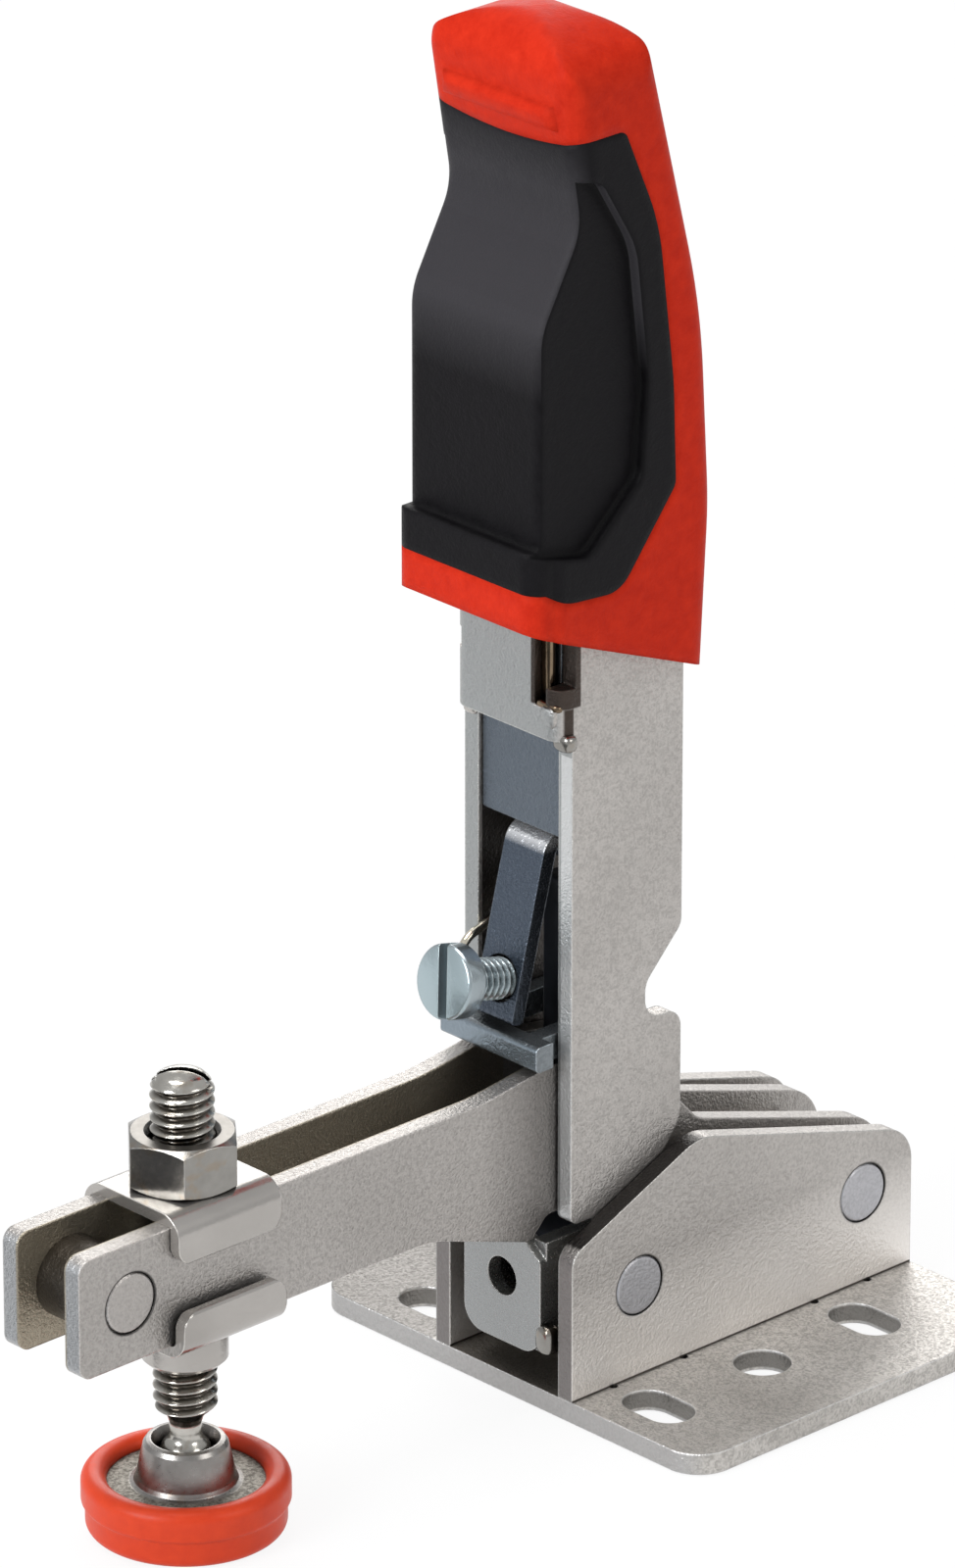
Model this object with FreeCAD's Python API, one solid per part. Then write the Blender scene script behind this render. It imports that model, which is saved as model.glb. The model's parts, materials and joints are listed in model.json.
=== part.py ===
"""Toggle clamp with a double-plate arm, an upright channel handle and a self-adjusting lock.

Millimetres, +Z up. The origin is on the underside of the base plate, at the centre of its hole pattern.
The arm points along -X and the mechanism is symmetrical about the plane Y = 0, apart from the window in
the handle web. Each function below makes one separate piece of the clamp.
"""
import FreeCAD
import Part
import math
import os

from FreeCAD import Vector

# Base plate
BASE_LENGTH = 60.0
BASE_WIDTH = 70.0
BASE_SHEET = 2.8
BASE_FRONT_CORNER_R = 5.0
BASE_REAR_CHAMFER = 12.5
SLOT_PITCH_Y = 41.0
SLOT_WIDTH = 6.6
SLOT_LENGTH = 10.4
FRONT_SLOT_SETBACK = 7.3
REAR_SLOT_INSET = 16.3
CENTRE_HOLE_D = 7.4

# Side plates
SIDE_SHEET = 2.5
SIDE_OUTER_WIDTH = 24.8
SIDE_FRONT_HEIGHT = 23.0
SIDE_PEAK_SETBACK = 22.0
SIDE_PEAK_HEIGHT = 32.6
SIDE_REAR_HEIGHT = 21.5
SIDE_FRONT_R = 3.0
SIDE_PEAK_R = 7.0
SIDE_REAR_R = 5.5
FRONT_TAB_SETBACK = 7.2
FRONT_TAB_LENGTH = 12.3
REAR_TAB_INSET = 17.3
REAR_TAB_LENGTH = 9.5
TAB_RELIEF_D = 1.2

# Base rivets
RIVET_D = 8.0
RIVET_EDGE_BREAK = 0.35
RIVET_HEIGHT = 15.3
LINK_RIVET_SETBACK = 11.7
ARM_RIVET_INSET = 8.7
RUNNING_GAP = 0.05
SEAT_GAP = 0.01
SIDE_GAP = 0.1
SPACER_WALL = 1.6

# Arm
ARM_SHEET = 2.6
ARM_INNER_GAP = 8.6
ARM_REACH = 76.8
ARM_UNDERSIDE = 29.6
ARM_DEPTH = 15.8
ARM_TIP_R = 1.8
ARM_RISE = 1.6
ARM_RISE_LENGTH = 10.0
ARM_KNEE_SETBACK = 2.0
ARM_KNEE_HEIGHT = 23.9
ARM_NECK_SETBACK = 19.5
ARM_LINK_CLEARANCE = 26.8
ARM_REAR_EYE_R = 8.6
TIP_RIVET_SETBACK = 8.3
TIP_SHOULDER_D = 10.6

# Saddle washers, nut and spindle
SPINDLE_SETBACK = 23.1
SPINDLE_D = 8.0
SPINDLE_TOP = 61.8
SPINDLE_THREAD_END = 15.6
SPINDLE_NECK_D = 4.4
SPINDLE_DRIVER_SLOT = 1.2
SPINDLE_SLOT_DEPTH = 2.4
SPINDLE_SLOT_TURN = 55.0
SADDLE_SHEET = 1.6
SADDLE_LENGTH = 16.8
SADDLE_FLANGE = 4.8
SADDLE_BEND_R = 1.5
SADDLE_CORNER_R = 2.4
SADDLE_ARM_GAP = 0.12
LOWER_SADDLE_GAP = 0.9
COLLAR_D = 10.8
COLLAR_LENGTH = 5.2
NUT_ACROSS_FLATS = 13.0
NUT_HEIGHT = 6.6
NUT_CHAMFER_ANGLE = 30.0
NUT_TURN = 49.7

# Swivel foot
FOOT_UNDERSIDE = 0.0
RING_OUTER_D = 26.0
RING_INNER_D = 19.6
RING_HEIGHT = 7.8
RING_LIP_R = 1.5
RING_SEAT_DEPTH = 1.2
RING_FLOOR_WIDTH = 2.4
DISC_SHEET = 2.0
DISC_HEIGHT = 4.3
BALL_D = 7.0
BALL_HEIGHT = 9.4
SOCKET_GAP = 0.3
HUB_BASE_D = 12.4
HUB_RIM_D = 10.6
HUB_RIM_HEIGHT = 12.0
HUB_MOUTH_D = 6.2

# Handle channel
HANDLE_SHEET = 2.4
HANDLE_CLEARANCE = 0.3
HANDLE_FRONT_SETBACK = 2.4
HANDLE_REAR_SETBACK = 21.3
HANDLE_FOOT = 25.6
HANDLE_TOP = 147.0
HANDLE_PIVOT_SETBACK = 13.0
HANDLE_PIVOT_HEIGHT = 33.0
WEB_PROUD = 2.2
WEB_FOOT = 91.4
WINDOW_RISE = 4.1
WINDOW_HEIGHT = 10.5
WINDOW_EDGE = 5.1
RELIEF_RISE = 2.7
RELIEF_DEPTH = 0.6
FAR_RELIEF_RISE = 3.5
FAR_RELIEF_HEIGHT = 2.8
HANDLE_TOP_TAPER = 24.0
NOTCH_FOOT = 49.8
NOTCH_DEPTH = 6.2
NOTCH_HEIGHT = 11.4
STUD_D = 6.0
STUD_COVER = 0.8
STUD_GAP = 0.05

# Link and lock bar
LINK_SHEET = 2.2
LINK_OUTER_WIDTH = 13.8
LINK_WEB_SETBACK = -0.3
LINK_FOOT = 7.3
LINK_TOP = 22.8
LINK_EYE_R = 7.4
LINK_HOLE_D = 5.2
LINK_HOLE_HEIGHT = 16.3
LINK_CORNER_R = 3.2
BAR_WIDTH = 7.2
BAR_THICKNESS = 3.0
BAR_REACH = 52.0
BAR_EYE_R = 6.4

# Lock parts in the handle channel
LOCK_FOOT = 47.7
LOCK_HEIGHT = 3.4
LOCK_FRONT_SETBACK = -2.7
LOCK_BAR_DEPTH = 2.9
LOCK_BAR_WIDTH = 17.3
LOCK_LEG_REACH = 16.0
LOCK_LEG_WIDTH = 2.4
PLATE_SHEET = 2.0
PLATE_SIDE_GAP = 0.2
PLATE_SETBACK = 3.0
PLATE_FOOT = 77.4
PLATE_TOP = 138.0
TONGUE_SHEET = 2.0
TONGUE_WIDTH = 7.0
TONGUE_TOP = 73.6
TONGUE_FOOT = 52.4
TONGUE_LEAN = 14.0
TONGUE_TOP_SETBACK = 3.2
TONGUE_BEND_R = 3.0
SCREW_D = 6.0
SCREW_HEIGHT = 57.4
SCREW_HEAD_D = 9.6
SCREW_HEAD_HEIGHT = 3.9
SCREW_SHANK_SHOWING = 6.0
SCREW_TAIL = 2.7
SCREW_SLOT = 1.5
SCREW_SLOT_DEPTH = 1.9
PIN_D = 3.0
PIN_SETBACK = 12.2
WIRE_D = 1.3
COIL_GAP = 0.25
COIL_TURNS = 1.25
REAR_LEG = 6.0
SPRING_TIP_AHEAD = 2.2

# Grip
GRIP_WIDTH = 26.0
GRIP_FLOOR_FRONT = 107.6
GRIP_FLOOR_SLOPE = 22.0
GRIP_LIP_HEIGHT = 118.8
GRIP_LIP_PROUD = 1.9
GRIP_LIP_INSET = 0.4
GRIP_LIP_R = 2.6
GRIP_EDGE_R = 2.8
GRIP_CROWN_R = 20.0
GRIP_CROWN_SLOPE = 30.0
GRIP_SHOULDER_R = 5.0
RIDGE_HALF_LENGTH = 10.0
RIDGE_END_R = 2.4
COVER_THICKNESS = 1.5
COVER_SAG_R = 60.0
POCKET_TOP = 112.0
PLATE_CLEARANCE = 0.1
COVER_FOOT_FRONT = 113.4
SCOOP_DEPTH = 1.6

# Side view of the grip from the lip over the top to the rear, as setback, height and corner radius
GRIP_OUTLINE = [
    (-5.0, 90.0, 0.0),
    (-5.0, 146.8, 9.0),
    (1.6, 158.8, 8.0),
    (-2.6, 183.5, 6.0),
    (12.0, 183.5, 7.0),
    (22.1, 144.0, 90.0),
    (23.6, 118.0, 60.0),
    (22.0, 90.0, 0.0),
]

# Side view of the thumb ridge from its foot to its top, as setback, height and corner radius
RIDGE_OUTLINE = [
    (1.8, 170.6, 0.0),
    (-1.5, 171.8, 0.7),
    (-2.2, 174.0, 1.0),
    (1.8, 176.2, 0.0),
]

# Side view of the black cover's rear edge, from its top to its foot, as setback, height and corner radius
COVER_EDGE = [
    (7.6, 170.4, 1.5),
    (13.4, 157.0, 30.0),
    (16.0, 136.0, 40.0),
    (16.5, 122.4, 2.0),
    (7.2, 110.8, 4.5),
    (-2.0, 111.6, 8.0),
]

# Side view of the finger scoop, as setback, height and corner radius
SCOOP_OUTLINE = [
    (3.6, 165.0, 3.0),
    (9.6, 155.0, 12.0),
    (11.8, 137.0, 16.0),
    (10.8, 124.6, 3.0),
    (2.0, 116.6, 2.5),
    (-12.0, 119.6, 0.0),
    (-12.0, 165.6, 0.0),
]

# Places worked out from the sizes above
SLOT_PITCH_X = BASE_LENGTH - FRONT_SLOT_SETBACK - REAR_SLOT_INSET
FRONT_X = -(SLOT_PITCH_X / 2 + FRONT_SLOT_SETBACK)
LINK_RIVET_X = FRONT_X + LINK_RIVET_SETBACK
ARM_RIVET_X = FRONT_X + BASE_LENGTH - ARM_RIVET_INSET
SIDE_OUT = SIDE_OUTER_WIDTH / 2
SIDE_IN = SIDE_OUT - SIDE_SHEET
ARM_IN = ARM_INNER_GAP / 2
ARM_OUT = ARM_IN + ARM_SHEET
ARM_TOP = ARM_UNDERSIDE + ARM_DEPTH
ARM_TIP_X = FRONT_X - ARM_REACH
TIP_RIVET_X = ARM_TIP_X + TIP_RIVET_SETBACK
TIP_RIVET_Z = ARM_UNDERSIDE + ARM_DEPTH / 2
SPINDLE_X = ARM_TIP_X + SPINDLE_SETBACK
HANDLE_IN = ARM_OUT + HANDLE_CLEARANCE
HANDLE_OUT = HANDLE_IN + HANDLE_SHEET
PIVOT_X = FRONT_X + HANDLE_PIVOT_SETBACK
LINK_OUT = LINK_OUTER_WIDTH / 2
LINK_IN = LINK_OUT - LINK_SHEET
WEB_X = FRONT_X + HANDLE_FRONT_SETBACK - WEB_PROUD
PIN_X = FRONT_X + PIN_SETBACK
PIN_Z = TONGUE_TOP - TONGUE_SHEET / 2


def rounded_wire(corners, place):
    """Closed outline through corners of (a, b, radius), with an arc at each corner that has a radius."""
    count = len(corners)
    starts = []
    ends = []
    middles = []
    for i in range(count):
        ax, ay = corners[i - 1][:2]
        bx, by, radius = corners[i]
        cx, cy = corners[(i + 1) % count][:2]
        here = Vector(bx, by, 0)
        back = (Vector(ax, ay, 0) - here).normalize()
        ahead = (Vector(cx, cy, 0) - here).normalize()
        half = back.getAngle(ahead) / 2
        if radius <= 0 or half > math.pi / 2 - 1e-6:
            starts.append(here)
            ends.append(here)
            middles.append(None)
            continue
        reach = radius / math.tan(half)
        inward = (back + ahead).normalize()
        starts.append(here + back * reach)
        ends.append(here + ahead * reach)
        middles.append(here + inward * (radius / math.sin(half) - radius))
    edges = []
    for i in range(count):
        if middles[i] is not None:
            arc = Part.Arc(place(starts[i]), place(middles[i]), place(ends[i]))
            edges.append(arc.toShape())
        following = starts[(i + 1) % count]
        if (following - ends[i]).Length > 1e-6:
            edges.append(Part.makeLine(place(ends[i]), place(following)))
    return Part.Wire(edges)


def side_profile(corners, y_from, y_to):
    """Sheet or block with a side outline of (x, z, radius) corners, from one Y to another."""
    wire = rounded_wire(corners, lambda p: Vector(p.x, y_from, p.y))
    return Part.Face(wire).extrude(Vector(0, y_to - y_from, 0))


def plan_profile(corners, z_from, z_to):
    """Sheet or block with a plan outline of (x, y, radius) corners, from one Z to another."""
    wire = rounded_wire(corners, lambda p: Vector(p.x, p.y, z_from))
    return Part.Face(wire).extrude(Vector(0, 0, z_to - z_from))


def front_profile(corners, x_from, x_to):
    """Sheet or block with a front outline of (y, z, radius) corners, from one X to another."""
    wire = rounded_wire(corners, lambda p: Vector(x_from, p.x, p.y))
    return Part.Face(wire).extrude(Vector(x_to - x_from, 0, 0))


def box(x_from, x_to, y_from, y_to, z_from, z_to):
    return Part.makeBox(x_to - x_from, y_to - y_from, z_to - z_from, Vector(x_from, y_from, z_from))


def cross_pin(x, z, diameter, y_from, y_to):
    """Cylinder along Y."""
    return Part.makeCylinder(diameter / 2, y_to - y_from, Vector(x, y_from, z), Vector(0, 1, 0))


def cross_tube(x, z, outer, inner, y_from, y_to):
    return cross_pin(x, z, outer, y_from, y_to).cut(cross_pin(x, z, inner, y_from, y_to))


def mirrored(shape):
    return shape.mirror(Vector(0, 0, 0), Vector(0, 1, 0))


def turned(outline, x, y=0.0):
    """Solid of revolution about a vertical axis, from (radius, z) points."""
    points = [Vector(x + r, y, z) for r, z in outline]
    face = Part.Face(Part.makePolygon(points + points[:1]))
    return face.revolve(Vector(x, y, 0), Vector(0, 0, 1), 360)


def base_plate():
    rear_x = FRONT_X + BASE_LENGTH
    half = BASE_WIDTH / 2
    corners = [
        (FRONT_X, -half, BASE_FRONT_CORNER_R),
        (rear_x - BASE_REAR_CHAMFER, -half, 2.0),
        (rear_x, -half + BASE_REAR_CHAMFER, 2.0),
        (rear_x, half - BASE_REAR_CHAMFER, 2.0),
        (rear_x - BASE_REAR_CHAMFER, half, 2.0),
        (FRONT_X, half, BASE_FRONT_CORNER_R),
    ]
    plate = plan_profile(corners, 0, BASE_SHEET)
    cuts = []
    for sign in (-1, 1):
        y = sign * SLOT_PITCH_Y / 2
        for x in (-SLOT_PITCH_X / 2, SLOT_PITCH_X / 2):
            cuts.append(transverse_slot(x, y))
        cuts.append(Part.makeCylinder(CENTRE_HOLE_D / 2, BASE_SHEET, Vector(0, y, 0)))
        cuts += tab_slots(sign)
    return plate.cut(cuts)


def transverse_slot(x, y):
    half_width = SLOT_WIDTH / 2
    half_length = SLOT_LENGTH / 2
    corners = [
        (x - half_width, y - half_length, half_width - 0.001),
        (x + half_width, y - half_length, half_width - 0.001),
        (x + half_width, y + half_length, half_width - 0.001),
        (x - half_width, y + half_length, half_width - 0.001),
    ]
    return plan_profile(corners, 0, BASE_SHEET)


def tab_spans():
    front = FRONT_X + FRONT_TAB_SETBACK
    rear = FRONT_X + BASE_LENGTH - REAR_TAB_INSET
    return [(front, front + FRONT_TAB_LENGTH), (rear, rear + REAR_TAB_LENGTH)]


def tab_slots(sign):
    """Openings for the tabs of one side plate, with a round relief at each outer corner."""
    cuts = []
    y_low = min(sign * SIDE_IN, sign * SIDE_OUT)
    y_high = max(sign * SIDE_IN, sign * SIDE_OUT)
    for x_from, x_to in tab_spans():
        cuts.append(box(x_from, x_to, y_low, y_high, 0, BASE_SHEET))
        for x in (x_from, x_to):
            centre = Vector(x, sign * SIDE_OUT, 0)
            cuts.append(Part.makeCylinder(TAB_RELIEF_D / 2, BASE_SHEET, centre))
    return cuts


def side_plate_left():
    rear_x = FRONT_X + BASE_LENGTH
    corners = [
        (FRONT_X, BASE_SHEET, 0),
        (rear_x, BASE_SHEET, 0),
        (rear_x, SIDE_REAR_HEIGHT, SIDE_REAR_R),
        (FRONT_X + SIDE_PEAK_SETBACK, SIDE_PEAK_HEIGHT, SIDE_PEAK_R),
        (FRONT_X, SIDE_FRONT_HEIGHT, SIDE_FRONT_R),
    ]
    plate = side_profile(corners, -SIDE_OUT, -SIDE_IN)
    tabs = [box(a, b, -SIDE_OUT, -SIDE_IN, 0, BASE_SHEET) for a, b in tab_spans()]
    plate = plate.fuse(tabs).removeSplitter()
    bore = RIVET_D + 2 * SEAT_GAP
    holes = [cross_pin(x, RIVET_HEIGHT, bore, -SIDE_OUT, -SIDE_IN) for x in (LINK_RIVET_X, ARM_RIVET_X)]
    return plate.cut(holes)


def base_rivet(x):
    """Flush rivet right through both side plates, with a broken edge at each end."""
    shank = cross_pin(x, RIVET_HEIGHT, RIVET_D, -SIDE_OUT, SIDE_OUT)
    rims = [edge for edge in shank.Edges if isinstance(edge.Curve, Part.Circle)]
    return shank.makeChamfer(RIVET_EDGE_BREAK, rims)


def pivot_spacer(x, y_from, y_to):
    outer = RIVET_D + 2 * SPACER_WALL
    return cross_tube(x, RIVET_HEIGHT, outer, RIVET_D + 2 * RUNNING_GAP, y_from, y_to)


def arm_pivot_spacers():
    """Tubes on the arm rivet: one between the arm plates and one outside each."""
    middle = pivot_spacer(ARM_RIVET_X, -ARM_IN + SIDE_GAP, ARM_IN - SIDE_GAP)
    left = pivot_spacer(ARM_RIVET_X, -SIDE_IN, -ARM_OUT - SIDE_GAP)
    return [middle, left, mirrored(left)]


def link_pivot_spacers():
    left = pivot_spacer(LINK_RIVET_X, -SIDE_IN, -LINK_OUT - SIDE_GAP)
    return [left, mirrored(left)]


def arm_plate_left():
    """One of the two stamped arm plates: a straight bar, deeper at the knee, with a neck to the pivot."""
    knee_x = FRONT_X - ARM_KNEE_SETBACK
    slope_start_x = knee_x - (ARM_UNDERSIDE - ARM_KNEE_HEIGHT) * 3.0
    clear_x = knee_x + (ARM_LINK_CLEARANCE - ARM_KNEE_HEIGHT)
    neck_x = FRONT_X + ARM_NECK_SETBACK
    crown = ARM_TOP + ARM_RISE
    side_slope = (SIDE_PEAK_HEIGHT - SIDE_REAR_HEIGHT) / (BASE_LENGTH - SIDE_PEAK_SETBACK)
    rear_top_z = RIVET_HEIGHT + ARM_REAR_EYE_R
    rear_top_x = ARM_RIVET_X + ARM_REAR_EYE_R * side_slope
    neck_top_x = neck_x + 7.5
    neck_top_z = rear_top_z + (rear_top_x - neck_top_x) * side_slope
    corners = [
        (ARM_TIP_X, ARM_UNDERSIDE, ARM_TIP_R),
        (slope_start_x, ARM_UNDERSIDE, 14.0),
        (knee_x, ARM_KNEE_HEIGHT, 1.4),
        (clear_x, ARM_LINK_CLEARANCE, 2.0),
        (neck_x, ARM_LINK_CLEARANCE, 4.0),
        (neck_x + 9.0, RIVET_HEIGHT - ARM_REAR_EYE_R + 1.0, 10.0),
        (ARM_RIVET_X + ARM_REAR_EYE_R, RIVET_HEIGHT - ARM_REAR_EYE_R, ARM_REAR_EYE_R - 0.6),
        (ARM_RIVET_X + ARM_REAR_EYE_R, rear_top_z - ARM_REAR_EYE_R * side_slope, ARM_REAR_EYE_R - 1.6),
        (neck_top_x, neck_top_z, 4.0),
        (neck_x - 4.0, crown - 2.4, 5.0),
        (FRONT_X + 2.0, crown, 3.0),
        (FRONT_X - ARM_RISE_LENGTH, ARM_TOP, 40.0),
        (ARM_TIP_X, ARM_TOP, ARM_TIP_R),
    ]
    plate = side_profile(corners, -ARM_OUT, -ARM_IN)
    holes = [
        cross_pin(TIP_RIVET_X, TIP_RIVET_Z, RIVET_D + 2 * SEAT_GAP, -ARM_OUT, -ARM_IN),
        cross_pin(ARM_RIVET_X, RIVET_HEIGHT, RIVET_D + 2 * RUNNING_GAP, -ARM_OUT, -ARM_IN),
        cross_pin(PIVOT_X, HANDLE_PIVOT_HEIGHT, STUD_D + 2 * SEAT_GAP, -ARM_OUT, -ARM_IN),
    ]
    return plate.cut(holes)


def arm_tip_rivet():
    """Flush rivet with a thicker shoulder that keeps the arm plates apart."""
    shank = cross_pin(TIP_RIVET_X, TIP_RIVET_Z, RIVET_D, -ARM_OUT, ARM_OUT)
    rims = [edge for edge in shank.Edges if isinstance(edge.Curve, Part.Circle)]
    shank = shank.makeChamfer(RIVET_EDGE_BREAK, rims)
    return shank.fuse(cross_pin(TIP_RIVET_X, TIP_RIVET_Z, TIP_SHOULDER_D, -ARM_IN, ARM_IN))


def handle_pivot_studs():
    """Two short studs, fixed in the arm plates and running in blind bores in the handle cheeks."""
    reach = HANDLE_OUT - STUD_COVER - SIDE_GAP
    left = cross_pin(PIVOT_X, HANDLE_PIVOT_HEIGHT, STUD_D, -reach, -ARM_IN)
    return [left, mirrored(left)]


def saddle_washer(plate_z, flange_sign, side_gap):
    """U-shaped washer over the arm's edge, with its flanges up (1) or down (-1) beside the plates."""
    inner = ARM_OUT + side_gap
    outer = inner + SADDLE_SHEET
    back_z = plate_z - flange_sign * SADDLE_SHEET
    tip_z = plate_z + flange_sign * SADDLE_FLANGE
    section = [
        (-outer, back_z, SADDLE_BEND_R + SADDLE_SHEET),
        (outer, back_z, SADDLE_BEND_R + SADDLE_SHEET),
        (outer, tip_z, 0.5),
        (inner, tip_z, 0.5),
        (inner, plate_z, side_gap),
        (-inner, plate_z, side_gap),
        (-inner, tip_z, 0.5),
        (-outer, tip_z, 0.5),
    ]
    half = SADDLE_LENGTH / 2
    washer = front_profile(section, SPINDLE_X - half, SPINDLE_X + half)
    ends = side_profile(
        [
            (SPINDLE_X - half, back_z, 0),
            (SPINDLE_X + half, back_z, 0),
            (SPINDLE_X + half, tip_z, SADDLE_CORNER_R),
            (SPINDLE_X - half, tip_z, SADDLE_CORNER_R),
        ],
        -outer,
        outer,
    )
    return washer.common(ends)


def upper_saddle_washer():
    washer = saddle_washer(ARM_TOP, -1, SADDLE_ARM_GAP)
    bore = SPINDLE_D / 2 + 2 * RUNNING_GAP
    bore_foot = Vector(SPINDLE_X, 0, ARM_TOP - SADDLE_SHEET)
    return washer.cut(Part.makeCylinder(bore, 3 * SADDLE_SHEET, bore_foot))


def lower_saddle_washer():
    """Lower saddle, flared clear of the arm, with a tapped collar drawn downwards out of the sheet."""
    washer = saddle_washer(ARM_UNDERSIDE, 1, LOWER_SADDLE_GAP)
    collar_foot = ARM_UNDERSIDE - SADDLE_SHEET - COLLAR_LENGTH
    collar = Part.makeCylinder(COLLAR_D / 2, COLLAR_LENGTH + 0.5, Vector(SPINDLE_X, 0, collar_foot))
    collar = collar.makeChamfer(0.6, [edge for edge in collar.Edges if edge.BoundBox.ZMax < collar_foot + 0.01])
    washer = washer.fuse(collar).removeSplitter()
    bore = SPINDLE_D / 2 + RUNNING_GAP
    depth = ARM_UNDERSIDE - collar_foot + 1
    return washer.cut(Part.makeCylinder(bore, depth, Vector(SPINDLE_X, 0, collar_foot)))


def hexagon(across_flats, x, z, turn):
    radius = across_flats / math.sqrt(3)
    points = []
    for i in range(6):
        angle = math.radians(60 * i + turn)
        points.append(Vector(x + radius * math.cos(angle), radius * math.sin(angle), z))
    return Part.Face(Part.makePolygon(points + points[:1]))


def spindle_nut():
    """Hexagon nut with its corners chamfered top and bottom."""
    foot = ARM_TOP + SADDLE_SHEET
    nut = hexagon(NUT_ACROSS_FLATS, SPINDLE_X, foot, NUT_TURN).extrude(Vector(0, 0, NUT_HEIGHT))
    corner_r = NUT_ACROSS_FLATS / math.sqrt(3)
    flat_r = NUT_ACROSS_FLATS / 2 * 0.97
    drop = (corner_r - flat_r) * math.tan(math.radians(NUT_CHAMFER_ANGLE))
    envelope = turned(
        [
            (0, foot),
            (flat_r, foot),
            (corner_r + 0.001, foot + drop),
            (corner_r + 0.001, foot + NUT_HEIGHT - drop),
            (flat_r, foot + NUT_HEIGHT),
            (0, foot + NUT_HEIGHT),
        ],
        SPINDLE_X,
    )
    bore = Part.makeCylinder(SPINDLE_D / 2 + RUNNING_GAP, NUT_HEIGHT, Vector(SPINDLE_X, 0, foot))
    countersink = 0.7
    mouth_r = SPINDLE_D / 2 + RUNNING_GAP + countersink
    cones = [
        Part.makeCone(mouth_r, mouth_r - countersink, countersink, Vector(SPINDLE_X, 0, foot)),
        Part.makeCone(
            mouth_r - countersink, mouth_r, countersink, Vector(SPINDLE_X, 0, foot + NUT_HEIGHT - countersink)
        ),
    ]
    return nut.common(envelope).cut([bore] + cones)


def spindle():
    """Threaded spindle with a domed, slotted top, a neck and a ball end."""
    r = SPINDLE_D / 2
    neck_r = SPINDLE_NECK_D / 2
    dome = 1.6
    body = turned(
        [
            (0, BALL_HEIGHT),
            (neck_r, BALL_HEIGHT),
            (neck_r, SPINDLE_THREAD_END - 0.8),
            (neck_r + 0.6, SPINDLE_THREAD_END),
            (r, SPINDLE_THREAD_END + 0.9),
            (r, SPINDLE_TOP - dome),
            (r - 0.7, SPINDLE_TOP - dome * 0.45),
            (r - 2.0, SPINDLE_TOP - dome * 0.1),
            (0, SPINDLE_TOP),
        ],
        SPINDLE_X,
    )
    ball = Part.makeSphere(BALL_D / 2, Vector(SPINDLE_X, 0, BALL_HEIGHT))
    half = SPINDLE_DRIVER_SLOT / 2
    slot_foot = SPINDLE_TOP - SPINDLE_SLOT_DEPTH
    slot = box(SPINDLE_X - SPINDLE_D, SPINDLE_X + SPINDLE_D, -half, half, slot_foot, SPINDLE_TOP + 1)
    slot.rotate(Vector(SPINDLE_X, 0, 0), Vector(0, 0, 1), SPINDLE_SLOT_TURN)
    return body.fuse(ball).cut(slot)


def foot_plate():
    """Pressed disc with a conical hub that is closed over the ball."""
    z = FOOT_UNDERSIDE + DISC_HEIGHT
    disc_r = RING_INNER_D / 2 + RING_SEAT_DEPTH
    hub_r = HUB_BASE_D / 2
    rim_r = HUB_RIM_D / 2
    mouth_r = HUB_MOUTH_D / 2
    hub_foot = z + DISC_SHEET
    blank = turned(
        [
            (0, z),
            (disc_r, z),
            (disc_r, hub_foot),
            (hub_r + 0.8, hub_foot),
            (hub_r + 0.25, hub_foot + 0.2),
            (hub_r, hub_foot + 0.8),
            (rim_r + 0.2, HUB_RIM_HEIGHT - 1.6),
            (rim_r, HUB_RIM_HEIGHT - 0.7),
            (rim_r - 0.35, HUB_RIM_HEIGHT - 0.15),
            (rim_r - 0.9, HUB_RIM_HEIGHT),
            (0, HUB_RIM_HEIGHT),
        ],
        SPINDLE_X,
    )
    socket = Part.makeSphere(BALL_D / 2 + SOCKET_GAP, Vector(SPINDLE_X, 0, BALL_HEIGHT))
    mouth = Part.makeCone(
        mouth_r, mouth_r + 1.2, HUB_RIM_HEIGHT - BALL_HEIGHT + 0.01, Vector(SPINDLE_X, 0, BALL_HEIGHT)
    )
    return blank.cut([socket, mouth])


def foot_ring():
    """Soft ring round the disc, with a rounded rim and a parting groove half way up."""
    outer = RING_OUTER_D / 2
    inner = RING_INNER_D / 2
    z = FOOT_UNDERSIDE
    seat_foot = z + DISC_HEIGHT
    seat_top = seat_foot + DISC_SHEET
    seat_r = inner + RING_SEAT_DEPTH
    floor_r = inner - RING_FLOOR_WIDTH
    top = z + RING_HEIGHT
    mid = z + RING_HEIGHT * 0.46
    outline = [
        (floor_r, z, 0.5),
        (outer - 0.5, z, 1.3),
        (outer - 0.5, mid, 0.4),
        (outer, mid + 0.4, 0.4),
        (outer, top, RING_LIP_R),
        (inner, top, RING_LIP_R),
        (inner, seat_top, 0),
        (seat_r, seat_top, 0),
        (seat_r, seat_foot, 0),
        (floor_r, seat_foot, 0),
    ]
    wire = rounded_wire(outline, lambda p: Vector(SPINDLE_X + p.x, 0, p.y))
    return Part.Face(wire).revolve(Vector(SPINDLE_X, 0, 0), Vector(0, 0, 1), 360)


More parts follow.
